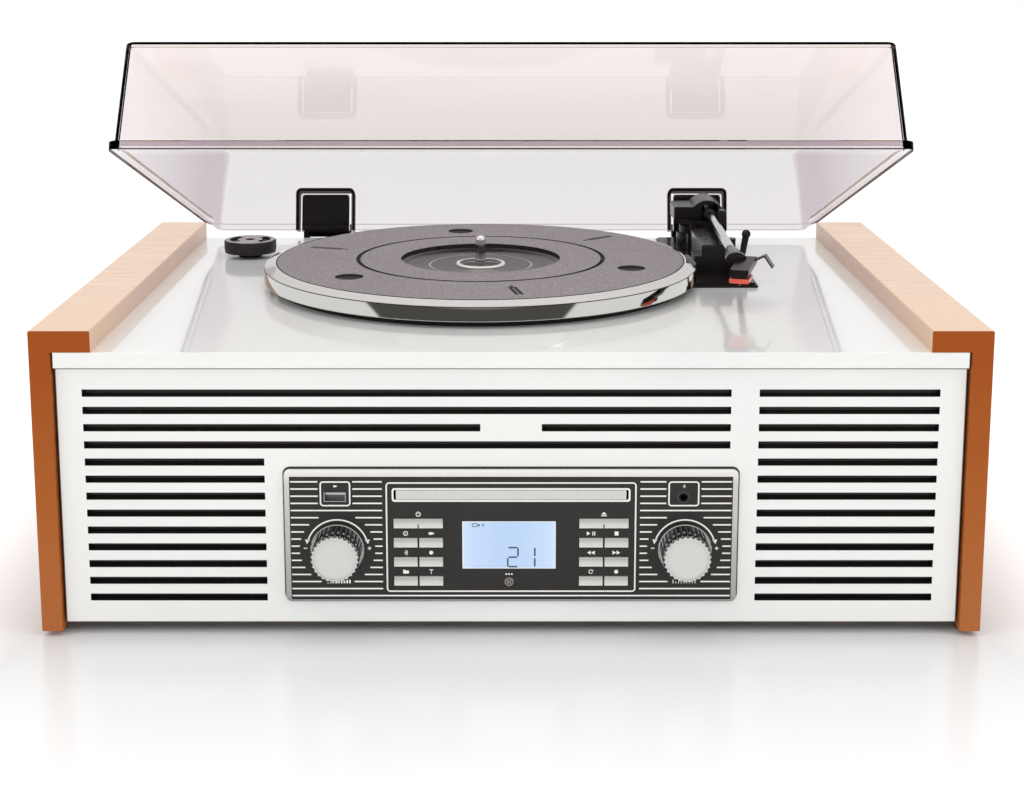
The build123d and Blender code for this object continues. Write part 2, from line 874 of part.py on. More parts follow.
def display():
    """Clear pane in the fascia's window, and the display module behind it."""
    x0, x1 = display_x - display_w / 2, display_x + display_w / 2
    z0, z1 = display_mid_z() - display_h / 2, display_mid_z() + display_h / 2
    y0 = fascia_y + pane_set
    y1 = y0 + pane_t
    pane = block(x0 + press, x1 - press, y0, y1, z0 + press, z1 - press)
    side, above, step = module_side, module_over, module_step
    module = block(x0 - side, x1 + side, panel_y, board_y, z0 - above, z1 + above)
    module += block(x0 + step, x1 - step, y1, panel_y, z0 + step, z1 - step)
    return Compound(children=[pane, module])


def sensor_lens():
    """Round lens of the remote sensor on its stem."""
    z = unit_z + sensor_mid
    y = fascia_y - lens_out
    lens = rod_y(display_x, z, sensor_r, y, panel_y)
    lens = fillet(lens.edges().group_by(Axis.Y)[0], lens_edge)
    return lens + rod_y(display_x, z, sensor_r - lens_step, panel_y, board_y)


def usb_socket():
    """Sheet-metal USB shell with its tongue, standing on the board."""
    z = unit_z + socket_mid
    w, h, wall = usb_w / 2 - usb_gap, usb_h / 2 - usb_gap, usb_wall
    floor = board_y - usb_floor
    shell = block(usb_x - w, usb_x + w, fascia_y + usb_set, board_y, z - h, z + h)
    shell -= block(usb_x - w + wall, usb_x + w - wall, fascia_y - over, floor, z - h + wall, z + h - wall)
    top = z + h - wall - tongue_drop
    return shell + block(usb_x - tongue_w / 2, usb_x + tongue_w / 2, fascia_y + tongue_set, floor,
                         top - tongue_t, top)


def aux_jack():
    """3.5 mm socket: round nose through the fascia and a moulded body on the board."""
    z = unit_z + socket_mid
    half = aux_body / 2
    body = block(aux_x - half, aux_x + half, panel_y, board_y, z - half, z + half)
    body = chamfer(body.edges().filter_by(Axis.Y), aux_corner)
    nose = rod_y(aux_x, z, aux_nose_r, fascia_y - aux_out, panel_y)
    nose = chamfer(nose.edges().group_by(Axis.Y)[0], aux_edge)
    return body + nose - rod_y(aux_x, z, aux_bore_r, fascia_y - over, board_y - aux_floor)


def control_knob(side):
    """Knurled knob over a plain silver skirt, moulded on its shaft."""
    x, z = side * knob_x, unit_z + knob_mid
    y0 = fascia_y - slide_gap
    skirt = rod_y(x, z, skirt_r, y0 - skirt_h, y0)
    skirt = chamfer(skirt.edges().group_by(Axis.Y)[0], skirt_edge)
    front = y0 - skirt_h - knob_h
    cap = rod_y(x, z, knob_r, front, y0 - skirt_h)
    cap = chamfer(cap.edges().group_by(Axis.Y)[0], knob_edge)
    lobes = [rod_y(x + knob_r * cos(a), z + knob_r * sin(a), lobe_r, front - over, y0 - skirt_h)
             for a in [2 * pi * n / knob_lobes for n in range(knob_lobes)]]
    cap -= lobes
    cap -= rod_y(x, z, knob_face_r, front - over, front + knob_face_deep)
    return skirt + cap + rod_y(x, z, shaft_r, y0, board_y - shaft_short)


# ---- CD drawer and mechanism ----

def tray_half():
    return drawer_w / 2 - tray_in


def tray_low():
    return unit_z + cd_slot_mid - drawer_h / 2


def mech_half():
    return tray_half() + slide_gap + mech_wall


def mech_low():
    return tray_low() - slide_gap - rail_h_cd - mech_wall


def mech_high():
    return tray_low() + tray_t + mech_room + mech_wall


def cd_tray():
    """Drawer front and the tray with its disc recess and hub window."""
    z = tray_low()
    front = block(-drawer_w / 2, drawer_w / 2, fascia_y, fascia_y + drawer_t, z, z + drawer_h)
    front = fillet(front.edges().group_by(Axis.Y)[0], drawer_edge)
    half = tray_half()
    y0 = fascia_y + drawer_t
    tray = block(-half, half, y0, y0 + tray_l, z, z + tray_t)
    mid = y0 + disc_in + disc_r
    tray -= rod_z(0, mid, disc_r, z + tray_t - disc_deep, z + tray_t + over)
    tray -= rod_z(0, mid, hub_window_r, z - over, z + tray_t)
    tray -= block(-hub_window_r, hub_window_r, mid, y0 + tray_l + over, z - over, z + tray_t + over)
    return front + tray


def cd_mechanism():
    """Channel that the tray runs in, with side rails and a motor block below."""
    half, low, high = mech_half(), mech_low(), mech_high()
    y0, y1 = panel_y, panel_y + mech_l
    shell = block(-half, half, y0, y1, low, high)
    inner = half - mech_wall
    shell -= block(-inner, inner, y0 - over, y1 - mech_wall, low + mech_wall, high - mech_wall)
    for side in (-1, 1):
        x = sorted((side * inner, side * (inner - rail_w_cd)))
        shell += block(x[0], x[1], y0, y1 - mech_wall, low + mech_wall, tray_low() - slide_gap)
    half = mech_motor_w / 2
    y2 = y0 + mech_motor_at
    shell += block(-half, half, y2, y2 + mech_motor_l, low - mech_motor_h, low)
    return shell


# ---- turntable ----

def pulley_place():
    reach = belt_rim_r + pulley_out
    angle = radians(pulley_angle)
    return platter_x + reach * cos(angle), platter_y + reach * sin(angle)


def web_under():
    """Underside of the platter's web above the deck."""
    return platter_top - dish_deep - web_t


def platter():
    """Cast platter: bright bevelled rim, mat seat, dished middle, hub and belt rim below."""
    seat = platter_top + mat_proud - mat_t
    dish = platter_top - dish_deep
    under = web_under()
    bore = journal_r + press
    low = rim_low - belt_rim_down
    floor = dish + hub_ring_h
    points = [(bore, under - hub_down), (hub_r, under - hub_down), (hub_r, under),
              (belt_rim_r - belt_rim_t, under), (belt_rim_r - belt_rim_t, low),
              (belt_rim_r, low), (belt_rim_r, under), (platter_r - rim_t, under),
              (platter_r - rim_t, rim_low), (platter_r - rim_edge, rim_low), (platter_r, rim_low + rim_edge),
              (platter_r, rim_high), (mat_r + rim_flat, platter_top), (mat_r, platter_top), (mat_r, seat),
              (dish_r + dish_slope, seat), (dish_r, dish + dish_lift), (dish_ring_r + dish_step_w, dish),
              (dish_ring_r, dish - dish_step), (hub_ring_r + hub_slope, dish - hub_ring_h),
              (hub_ring_r, floor), (hub_ring_r - hub_ring_w, floor), (hub_ring_r - hub_ring_w, dish - hub_well),
              (bore, dish - hub_well)]
    return lathe([(r, on_deck(h)) for r, h in points], platter_x, platter_y)


def platter_mat():
    """Rubber mat with a ring groove, three ovals and three dotted slits sunk in its top."""
    low = on_deck(platter_top + mat_proud - mat_t)
    top = low + mat_t
    inner, outer = dish_r + mat_in, mat_r - mat_gap
    points = [(inner, low), (outer, low), (outer, top - mat_edge), (outer - mat_edge, top),
              (groove_r + groove_w / 2, top), (groove_r + groove_w / 2, top - groove_deep),
              (groove_r - groove_w / 2, top - groove_deep), (groove_r - groove_w / 2, top),
              (inner, top)]
    mat = lathe(points, platter_x, platter_y)
    hub = Pos(platter_x, platter_y, 0)
    for n in range(3):
        turn = Rot(0, 0, oval_first + 120 * n)
        oval = extrude(Ellipse(oval_l / 2, oval_w / 2), oval_deep + over)
        mat -= hub * turn * Pos(oval_r, 0, top - oval_deep) * Rot(0, 0, -oval_first - 120 * n) * oval
        turn = Rot(0, 0, slit_first + 120 * n)
        slit = block(0, slit_l, -slit_w / 2, slit_w / 2, -oval_deep, over)
        mat -= hub * turn * Pos(slit_in, 0, top) * slit
        mat -= hub * turn * Pos(slit_in, 0, top) * rod_z(0, 0, dot_r, -oval_deep, over)
    return mat


def spindle():
    """Turned spindle: rounded nose above the hub's well, thicker bearing journal below."""
    shoulder = on_deck(platter_top - dish_deep - hub_well)
    pin = rod_z(platter_x, platter_y, spindle_r, shoulder, on_deck(spindle_high))
    pin = fillet(pin.edges().group_by(Axis.Z)[-1], spindle_r - nose_flat)
    return pin + rod_z(platter_x, platter_y, journal_r, on_deck(-bearing_deep), shoulder)


def turntable_chassis():
    """Black plinth ring under the platter with the bearing bush and the motor's seat."""
    inner = well_r - well_rim
    bore = journal_r + run_fit
    points = [(bore, on_deck(-bearing_deep - bearing_floor)),
              (journal_r + bush_t, on_deck(-bearing_deep - bearing_floor)),
              (journal_r + bush_t, deck_z), (well_r, deck_z), (well_r, on_deck(well_h - well_edge)),
              (well_r - well_edge, on_deck(well_h)), (inner, on_deck(well_h)), (inner, on_deck(well_floor)),
              (bore, on_deck(well_floor))]
    body = lathe(points, platter_x, platter_y)
    low = on_deck(-bearing_deep - bearing_floor - bearing_cap)
    body += rod_z(platter_x, platter_y, journal_r + bush_t, low, on_deck(-bearing_deep - slide_gap))
    px, py = pulley_place()
    return body - rod_z(px, py, motor_shaft_r + slide_gap, deck_z - over, on_deck(well_floor + over))


def motor():
    """Small round motor hung under the plinth."""
    px, py = pulley_place()
    can = rod_z(px, py, motor_r, on_deck(-motor_l), deck_z)
    can = fillet(can.edges().group_by(Axis.Z)[0], motor_edge)
    can += rod_z(px, py, end_boss_r, on_deck(-motor_l - end_boss_h), on_deck(-motor_l))
    return can - rod_z(px, py, motor_shaft_r + run_fit, on_deck(-motor_bore), deck_z + over)


def belt_level():
    """Lower edge of the belt above the deck."""
    return rim_low - belt_rim_down + belt_up


def motor_pulley():
    """Flanged pulley on the motor's shaft."""
    px, py = pulley_place()
    z0 = on_deck(well_floor + slide_gap)
    pulley = rod_z(px, py, pulley_r + pulley_flange, z0, z0 + flange_t)
    pulley += rod_z(px, py, pulley_r, z0 + flange_t, z0 + pulley_h)
    return pulley + rod_z(px, py, motor_shaft_r, on_deck(-shaft_deep), z0)


def belt_loop(grow, z0, z1):
    """Solid inside a belt line that runs at this distance outside rim and pulley."""
    big, small = belt_rim_r + grow, pulley_r + grow
    reach = belt_rim_r + pulley_out
    a = acos((big - small) / reach)
    upper_big = (big * cos(a), big * sin(a))
    upper_small = (reach + small * cos(a), small * sin(a))
    lower_big = (upper_big[0], -upper_big[1])
    lower_small = (upper_small[0], -upper_small[1])
    outline = [Line(upper_big, upper_small), ThreePointArc(upper_small, (reach + small, 0), lower_small),
               Line(lower_small, lower_big), ThreePointArc(lower_big, (-big, 0), upper_big)]
    solid = extrude(make_face(Wire(outline)), z1 - z0)
    return Pos(platter_x, platter_y, z0) * Rot(0, 0, pulley_angle) * solid


def drive_belt():
    """Flat belt round the platter's belt rim and the motor's pulley."""
    z0 = on_deck(belt_level())
    inside = belt_loop(run_fit * 2, z0 - over, z0 + belt_h + over)
    return belt_loop(run_fit * 2 + belt_t, z0, z0 + belt_h) - inside


# ---- 45 rpm adapter ----

def adapter_post():
    x, y = adapter_x, back(adapter_back)
    disc = rod_z(x, y, post_disc_r, deck_z, on_deck(post_h))
    pin = rod_z(x, y, post_pin_r, on_deck(post_h), on_deck(post_h + post_pin_h))
    return disc + chamfer(pin.edges().group_by(Axis.Z)[-1], post_pin_edge)


def adapter_45():
    """Adapter disc with a spindle bore and two crescent pockets."""
    x, y = adapter_x, back(adapter_back)
    low = on_deck(post_h + slide_gap)
    disc = rod_z(x, y, adapter_r, low, low + adapter_h)
    disc = chamfer(disc.edges().group_by(Axis.Z)[-1], adapter_edge)
    disc -= rod_z(x, y, adapter_bore_r, low - over, low + adapter_h + over)
    ring = rod_z(x, y, crescent_out, low + adapter_h - crescent_deep, low + adapter_h + over)
    ring -= rod_z(x, y, crescent_in, low, low + adapter_h + 2 * over)
    reach = crescent_out * 2
    for side in (0, 180):
        half = radians(crescent_arc / 2)
        wedge = extrude(make_face(Polyline((0, 0), (reach * cos(half), reach * sin(half)),
                                           (reach, 0), (reach * cos(half), -reach * sin(half)),
                                           close=True)), adapter_h + 2 * over)
        disc -= ring & (Pos(x, y, low) * Rot(0, 0, side) * wedge)
    return disc


# ---- record arm ----

def arm_point(x, y):
    """Row x, y of a point given beside and behind the arm's pivot along the parked arm."""
    a = radians(arm_yaw)
    return arm_x + x * cos(a) + y * sin(a), back(arm_back) - x * sin(a) + y * cos(a)


def along_arm(shape):
    """Places a shape drawn round the pivot, with the arm towards -Y, on the parked arm."""
    return Pos(arm_x, back(arm_back), axis_z) * Rot(0, 0, -arm_yaw) * shape


def tonearm_base():
    """Stepped plate with pedestal, round turret, arm rest, lever ears and the lift's guide."""
    x0, x1 = plate_left, plate_left + plate_w
    y1 = back(arm_back + plate_behind)
    y0 = y1 - plate_l
    top = on_deck(plate_t)
    base = block(x0, x1, y0, y1, deck_z, on_deck(plate_t - plate_step))
    base += block(x0 + step_in, x1 - step_in, y0 + step_front, y1 - step_in,
                  on_deck(plate_t - plate_step), top)
    px0, px1 = pedestal_left, pedestal_left + pedestal_w
    py1 = back(arm_back - pedestal_ahead)
    py0 = py1 - pedestal_l
    pedestal = block(px0, px1, py0, py1, top, on_deck(pedestal_h))
    pedestal = chamfer(pedestal.edges().group_by(Axis.Z)[-1], pedestal_edge)
    base += pedestal
    base += block(px0 - shelf_w, px0, py0, py0 + shelf_l, top, on_deck(shelf_h))
    turret_top = on_deck(hood_low() - slide_gap)
    mid = on_deck(plate_t + turret_step)
    ty = back(arm_back - turret_ahead)
    base += rod_z(turret_x, ty, turret_r, top, mid)
    base += rod_z(turret_x, ty, turret_r2, mid, turret_top)
    base += rod_z(px1 + knob_post_out, back(arm_back - knob_post_ahead), knob_post_r, top,
                  on_deck(knob_post_h))
    base += arm_rest(top)
    base += lever_ears(top)
    gx, gy = lift_stem_place()
    base += rod_z(gx, gy, lift_guide_r, top, on_deck(plate_t + lift_guide_h))
    base -= rod_z(gx, gy, lift_stem_r + run_fit, on_deck(guide_floor), on_deck(plate_t + lift_guide_h + over))
    clear = rod_z(platter_x, platter_y, well_r + slide_gap, deck_z - over, on_deck(well_h + over))
    return base - clear


def hood_low():
    return hood_top - hood_h


def arm_rest(top):
    """Rest with a low cradle under the tube and one tall post outside it."""
    tx = arm_point(0, rest_back - arm_back)[0]
    cradle = axis_z - arm_r - slide_gap
    outer = tx + rest_slot + rest_post
    y = back(rest_back)
    inner = tx + rest_slot
    high, low = on_deck(rest_high), on_deck(rest_low)
    outline = [(tx - rest_in, top), (outer, top), (outer, high - post_slope), (outer - post_slope, high),
               (inner + post_bevel_w, high), (inner, high - post_bevel_h), (inner, cradle),
               (tx - cradle_in, cradle), (tx - rest_step, low), (tx - rest_in, low)]
    return front_profile(outline, y - rest_t / 2, y + rest_t / 2)


def lever_ears(top):
    """Two ears that carry the cue lever's pins."""
    y, z = back(cue_back), on_deck(cue_pivot_high)
    inner = cue_barrel_l / 2 + slide_gap
    ears = None
    for side in (-1, 1):
        x0, x1 = sorted((cue_x + side * inner, cue_x + side * (inner + cue_ear_t)))
        ear = block(x0, x1, y - cue_ear_r, y + cue_ear_r, top, z) + rod_x(y, z, cue_ear_r, x0, x1)
        ear -= rod_x(y, z, cue_pin_r + run_fit, x0 - over, x1 + over)
        ears = ear if ears is None else ears + ear
    return ears


def cue_lever():
    """Leaning lever with a round head, turning on two short pins."""
    y, z = back(cue_back), on_deck(cue_pivot_high)
    half = cue_barrel_l / 2
    lever = rod_x(y, z, cue_barrel_r, cue_x - half, cue_x + half)
    pin = half + slide_gap + cue_ear_t
    lever += rod_x(y, z, cue_pin_r, cue_x - pin, cue_x + pin)
    stick = extrude(Circle(cue_rod_r), cue_l, taper=cue_taper)
    head = Pos(0, 0, cue_l) * Sphere(cue_head_r)
    return lever + Pos(cue_x, y, z) * Rot(0, cue_lean, 0) * (stick + head)


def lift_stem_place():
    a = radians(lift_stem_at)
    return arm_x + lift_radius * cos(a), back(arm_back) + lift_radius * sin(a)


def lift_platform():
    """Curved bar under the tube on a stem that slides in the base's guide."""
    top = axis_z - arm_r - lift_clear
    inner, outer = lift_radius - lift_bar_w / 2, lift_radius + lift_bar_w / 2
    a0, a1 = lift_from, lift_to
    mid = (a0 + a1) / 2

    def at(r, a):
        return (r * cos(radians(a)), r * sin(radians(a)))

    outline = [ThreePointArc(at(outer, a0), at(outer, mid), at(outer, a1)),
               Line(at(outer, a1), at(inner, a1)),
               ThreePointArc(at(inner, a1), at(inner, mid), at(inner, a0)),
               Line(at(inner, a0), at(outer, a0))]
    bar = extrude(make_face(Wire(outline)), lift_bar_t)
    bar = Pos(arm_x, back(arm_back), top - lift_bar_t) * bar
    sx, sy = lift_stem_place()
    low = on_deck(guide_floor + lift_travel + slide_gap)
    return bar + rod_z(sx, sy, lift_stem_r, low, top - lift_bar_t)


def arched(inset, low, y0, y1):
    """Body with the hood's arched outline drawn in by inset, from this bottom level up."""
    x0, x1 = hood_left + inset, hood_left + hood_w - inset
    wall, top = on_deck(hood_wall_h), on_deck(hood_top - inset)
    arch = [Line((x0, wall), (x0, low)), Line((x0, low), (x1, low)), Line((x1, low), (x1, wall)),
            ThreePointArc((x1, wall), ((x0 + x1) / 2, top), (x0, wall))]
    return Pos(0, y0, 0) * extrude(Plane.XZ * make_face(Wire(arch)), y1 - y0, dir=(0, 1, 0))


def pivot_housing():
    """Arched hood over the arm's cross pin, with the side block, turning on the turret."""
    x0 = hood_left
    y0, y1 = back(hood_front), back(hood_front) + hood_l
    hood = arched(0, on_deck(hood_low()), y0, y1)
    hood = fillet(hood.edges().group_by(Axis.Y)[0], hood_edge)
    side = block(x0 - block_w, x0 + block_in, y0, y0 + block_l, on_deck(block_low), on_deck(block_high))
    side = chamfer(side.edges().filter_by(Axis.Y).group_by(Axis.X)[0], block_edge)
    hood += side
    floor = axis_z - arm_r - tunnel_down
    tunnel = block(arm_x - tube_room, arm_x + tube_room, y0 - over, y1 + over, floor, on_deck(hood_top))
    hood -= tunnel & arched(hood_t, floor - over, y0 - over, y1 + over)
    half = cross_pin_l / 2 + slide_gap
    return hood - along_arm(rod_x(0, 0, cross_pin_r + run_fit, -half, half))


def ellipse_at(y, w, h):
    return Pos(0, y, 0) * (Plane.XZ * Ellipse(w / 2, h / 2))


def arm_tube():
    """Straight tube with its cross pin, exit collar and the flared oval end."""
    front = -arm_reach
    tube = rod_y(0, 0, arm_r, front, weight_start + tube_in_weight)
    tube += rod_x(0, 0, cross_pin_r, -cross_pin_l / 2, cross_pin_l / 2)
    leave = -hood_ahead - exit_gap
    sleeve = rod_y(0, 0, exit_r, leave - exit_l, leave)
    tube += chamfer(sleeve.edges().group_by(Axis.Y)[0], exit_edge)
    end = front - collar_l + collar_flat
    flare = loft([ellipse_at(front, 2 * arm_r, 2 * arm_r), ellipse_at(end, collar_w, collar_h)])
    ring = extrude(Plane.XZ * Ellipse(collar_w / 2, collar_h / 2), collar_flat, dir=(0, -1, 0))
    ring = Pos(0, end, 0) * ring
    mouth = Plane.XZ * Ellipse(collar_w / 2 - collar_wall, collar_h / 2 - collar_wall)
    recess = Pos(0, end - collar_flat + collar_deep, 0) * extrude(mouth, collar_deep + over, dir=(0, -1, 0))
    return along_arm(tube + flare + ring - recess)


def counterweight():
    """Turned weight pressed on the rear end of the tube."""
    weight = rod_y(0, 0, weight_r, weight_start, weight_start + weight_l)
    weight = chamfer(weight.edges().filter_by(GeomType.CIRCLE), weight_edge)
    return along_arm(weight - rod_y(0, 0, arm_r, weight_start - over, weight_start + tube_in_weight))


def on_head(shape):
    """Places a shape drawn round the headshell's middle, nose towards -Y, on the headshell."""
    x, y = arm_point(head_side, -(arm_reach + collar_l + head_ahead))
    return Pos(x, y, deck_z) * Rot(0, 0, -head_yaw) * shape


def headshell():
    """Slanted headshell with a sloping top, and the finger lift on its outer side."""
    half = head_l / 2
    nose_low, rear_low = head_nose_top - head_nose_t, head_rear_top - head_rear_t
    outline = [(-half, nose_low), (-half + nose_in, head_nose_top), (half - heel_l, head_rear_top),
               (half, head_rear_top - heel_drop), (half, rear_low), (-half + nose_l, nose_low)]
    shell = side_profile(outline, -head_w / 2, head_w / 2)
    shell = fillet(shell.edges().filter_by(Axis.X).group_by(Axis.Z)[-1], head_edge)
    x = head_w / 2
    z = head_rear_top - finger_down
    peak_x, peak_z = x + finger_out, z + finger_rise
    end_x, end_z = peak_x + finger_slope, peak_z - finger_drop
    lift = [(x - finger_in, z - finger_t), (peak_x, peak_z - finger_t), (end_x, end_z),
            (end_x + finger_tip, end_z + finger_tip_h), (peak_x + finger_bend, peak_z),
            (peak_x - finger_bend_in, peak_z), (x - finger_in, z)]
    shell += front_profile(lift, half - finger_back - finger_w, half - finger_back)
    shell = on_head(shell)
    end = -arm_reach - collar_l + collar_flat
    mouth = Plane.XZ * Ellipse(collar_w / 2 + press, collar_h / 2 + press)
    ring = extrude(mouth, collar_flat + socket_l + socket_over, dir=(0, -1, 0))
    ring = Pos(0, end + socket_l, 0) * ring
    return shell - along_arm(ring)


def cartridge():
    """Moulded cartridge under the headshell's nose."""
    half = head_l / 2
    under = head_nose_top - head_nose_t
    body = block(-cart_w / 2, cart_w / 2, -half + cart_set, -half + cart_set + cart_l, cart_low, under)
    slope = head_rear_top - head_rear_t - under
    rise = slope / (head_l - nose_l)
    start = -half + nose_l
    wedge = side_profile([(start, under), (start + cart_wedge, under),
                          (start + cart_wedge, under + cart_wedge * rise)],
                         -cart_w / 2, cart_w / 2)
    body = chamfer(body.edges().filter_by(Axis.Z), cart_edge)
    return on_head(body + wedge)


def stylus():
    """Red stylus carrier with its cantilever and tip."""
    half = head_l / 2
    y0 = -half + stylus_set
    body = block(-stylus_w / 2, stylus_w / 2, y0, y0 + stylus_l, stylus_low, cart_low)
    body = chamfer(body.edges().group_by(Axis.Z)[0], stylus_edge)
    tip = rod_z(0, y0 + tip_set, tip_r, tip_low, stylus_low + tip_in)
    return on_head(body + tip)


# ---- lid ----

def opened(shape):
    """Turns a shape drawn with the lid closed to the pose of the photograph."""
    return shape.rotate(Axis((0, pivot_y, pivot_z), (-1, 0, 0)), lid_open)


def lid_bell(inset, z0, z1):
    """Drafted block between two levels of the closed lid, drawn in by inset."""
    rim = on_deck(lid_gap)

    def outline(z):
        lean = lid_draft * (z - rim) / lid_h
        w = 2 * (lid_half - lean - inset)
        d = lid_l - 2 * lean - 2 * inset
        face = RectangleRounded(w, d, max(lid_r - inset, lid_r_least))
        return Pos(0, back(lid_back) - lid_l / 2, z) * face

    return loft([outline(z0), outline(z1)])


def lid():
    """Clear drafted hood with a thin wall, a lip at its rim and two hinge sockets."""
    rim = on_deck(lid_gap)
    top = rim + lid_h
    shell = lid_bell(0, rim, top)
    shell = fillet(shell.faces().sort_by(Axis.Z)[-1].edges(), lid_edge)
    shell += lid_lip_band(rim)
    for side in (-1, 1):
        shell += hinge_socket(side)
    shell -= lid_bell(lid_wall, rim - over, top - lid_wall)
    for side in (-1, 1):
        shell -= socket_room(side)
    return opened(shell)


def lid_lip_band(rim):
    """Lip outside the front and side walls, fading out before the rear corners."""
    y1 = back(lid_back)
    y0 = y1 - lid_l
    x, lip, fade = lid_half, lid_lip, lid_lip_fade
    outline = make_face(Polyline((-x + lip_in, y1 - fade / 2), (-x - lip, y1 - fade), (-x - lip, y0 - lip),
                                 (x + lip, y0 - lip), (x + lip, y1 - fade), (x - lip_in, y1 - fade / 2),
                                 close=True))
    band = extrude(Pos(0, 0, rim) * outline, lid_lip_h)
    front = band.edges().filter_by(Axis.Z).group_by(Axis.Y)[0]
    band = fillet(front, lid_r + lip)
    inner = lid_bell(lip_in, rim - over, rim + lid_lip_h + over)
    return band - inner


def hinge_socket(side):
    """Outer form of a hinge socket on the lid's rear wall."""
    rim = on_deck(lid_gap)
    x = side * hinge_x
    half = arm_w / 2 + socket_play + socket_wall
    top = rim + arm_up + socket_play + socket_wall
    y0 = back(lid_back) - lid_draft - lid_wall / 2
    y1 = arm_front() + arm_t + socket_play + socket_back_wall
    socket = block(x - half, x + half, y0, y1, rim, top)
    return fillet(socket.edges().filter_by(Axis.Y).group_by(Axis.Z)[-1], socket_r)


def socket_room(side):
    """Room for the arm inside a socket, and the notch its neck leaves by."""
    rim = on_deck(lid_gap)
    x = side * hinge_x
    half = arm_w / 2 + socket_play
    y0 = arm_front()
    room = block(x - half, x + half, y0 - press, y0 + arm_t + socket_play, rim - over,
                 rim + arm_up + socket_play)
    half = neck_w / 2 + socket_play
    end = y0 + arm_t + socket_play + socket_back_wall + over
    return room + block(x - half, x + half, y0 + notch_in, end, rim - over, pivot_z + neck_high + socket_play)


def arm_front():
    """Front face of the closed hinge arms, just behind the lid's rear wall."""
    return back(lid_back) + arm_behind_lid


def hinge_arms():
    """Arm in each lid socket, with the neck and barrel that turn on the hinge pin."""
    arms = []
    rim = on_deck(lid_gap)
    for side in (-1, 1):
        x = side * hinge_x
        y0 = arm_front()
        plate = block(x - arm_w / 2, x + arm_w / 2, y0, y0 + arm_t, rim, rim + arm_up)
        plate = fillet(plate.edges().filter_by(Axis.Y).group_by(Axis.Z)[-1], arm_corner)
        half = neck_w / 2
        start = y0 + arm_t - neck_high
        neck = side_profile([(start, rim - neck_down), (pivot_y, pivot_z - barrel_r + neck_rise),
                             (pivot_y, pivot_z + neck_high), (start, pivot_z + neck_high)],
                            x - half, x + half)
        neck += rod_x(pivot_y, pivot_z, barrel_r, x - half, x + half)
        hinge_arm = plate + neck
        hinge_arm -= rod_x(pivot_y, pivot_z, hinge_pin_r + run_fit, x - half - over, x + half + over)
        arms.append(opened(hinge_arm))
    return Compound(children=arms)


def hinge_bases():
    """Bracket behind the cabinet for each hinge, with its ears and pin."""
    bases = []
    rear = front_y + cab_d
    for side in (-1, 1):
        x = side * hinge_x
        inner = neck_w / 2 + slide_gap
        outer = inner + ear_t
        top = pivot_z - barrel_r - base_drop
        bracket = block(x - outer, x + outer, rear, rear + base_plate_t, top - base_plate_h, top)
        bracket = chamfer(bracket.edges().filter_by(Axis.Y), base_corner)
        bracket += block(x - outer, x + outer, rear, pivot_y + ear_behind, top - base_shelf, top)
        for end in (-1, 1):
            x0, x1 = sorted((x + end * inner, x + end * outer))
            ear = block(x0, x1, pivot_y - barrel_r, pivot_y + ear_behind, top - base_shelf, pivot_z)
            bracket += ear + rod_x(pivot_y, pivot_z, barrel_r, x0, x1)
        bracket += rod_x(pivot_y, pivot_z, hinge_pin_r, x - outer, x + outer)
        bases.append(bracket)
    return Compound(children=bases)


# ---- inside and rear ----

def cloth_back():
    return panel_y + front_t + cloth_t


def speaker_frames():
    """Pressed baskets with their magnets, one behind each block of slots."""
    y = cloth_back()
    z = foot_h + speaker_mid
    d = speaker_deep
    seat = y + d - magnet_t
    foot = magnet_r - basket_foot
    points = [(cone_r + basket_lap, y), (speaker_r, y), (speaker_r, y + basket_rim_t),
              (cone_r + basket_flank, y + basket_rim_t), (foot, seat), (magnet_r, seat), (magnet_r, y + d),
              (0, y + d), (0, seat + pole_sunk), (foot - pole_out, seat - pole_rise),
              (cone_r + basket_lap, y + basket_rim_t + basket_wall)]
    basket = lathe_y(points, 0, 0)
    for n in range(4):
        window = block(magnet_r + window_in, cone_r + window_out, y + window_from, seat - window_to,
                       -window_w / 2, window_w / 2)
        basket -= Rot(0, 45 + 90 * n, 0) * window
    return Compound(children=[Pos(s * speaker_x, 0, z) * basket for s in (-1, 1)])


def speaker_cones():
    """Paper cones with rubber surround and dust cap."""
    y = cloth_back()
    z = foot_h + speaker_mid
    deep = y + speaker_deep - magnet_t - cone_short
    edge, roll, inner = cone_r + surround_out, cone_r - surround_mid, cone_r - surround_in
    points = [(edge, y + surround_low), (edge, y + surround_low + surround_t), (roll, y + roll_back),
              (inner, y + cone_front + paper_t), (cap_r, deep), (0, deep - cap_rise),
              (0, deep - cap_rise - cap_t), (cap_r, deep - cone_t), (inner, y + cone_front),
              (roll, y + roll_front)]
    cone = lathe_y(points, 0, 0)
    return Compound(children=[Pos(s * speaker_x, 0, z) * cone for s in (-1, 1)])


def transformer():
    """Laminated core with its coil, bolted flat on the base board."""
    x, y, z = transformer_x, back(cab_d - iron_ahead), foot_h + base_t
    w, t = iron_w / 2, iron_t / 2
    core = block(x - w, x + w, y - t, y + t, z + iron_foot_t, z + iron_foot_t + iron_h)
    w = iron_foot_w / 2
    foot = block(x - w, x + w, y - t, y + t, z, z + iron_foot_t)
    w, t = coil_w / 2, coil_t / 2
    coil = block(x - w, x + w, y - t, y + t, z + coil_up, z + coil_up + coil_h)
    coil = fillet(coil.edges().filter_by(Axis.Z), coil_corner)
    return core + foot + coil


def cord_gland():
    """Moulded cord gland with a grooved neck; its bore is ready for the mains cord."""
    rear = front_y + cab_d
    z = foot_h + gland_up
    inside, outside = rear - gland_inside, rear + gland_outside
    lip = gland_r + gland_lip
    points = [(gland_cord_r, inside), (lip, inside), (lip, rear - rear_t), (gland_r - press, rear - rear_t),
              (gland_r - press, rear), (gland_r + gland_flange, rear), (lip, rear + gland_flange_t),
              (gland_cord_r + gland_lip, outside), (gland_cord_r, outside)]
    return lathe_y(points, gland_x, z)


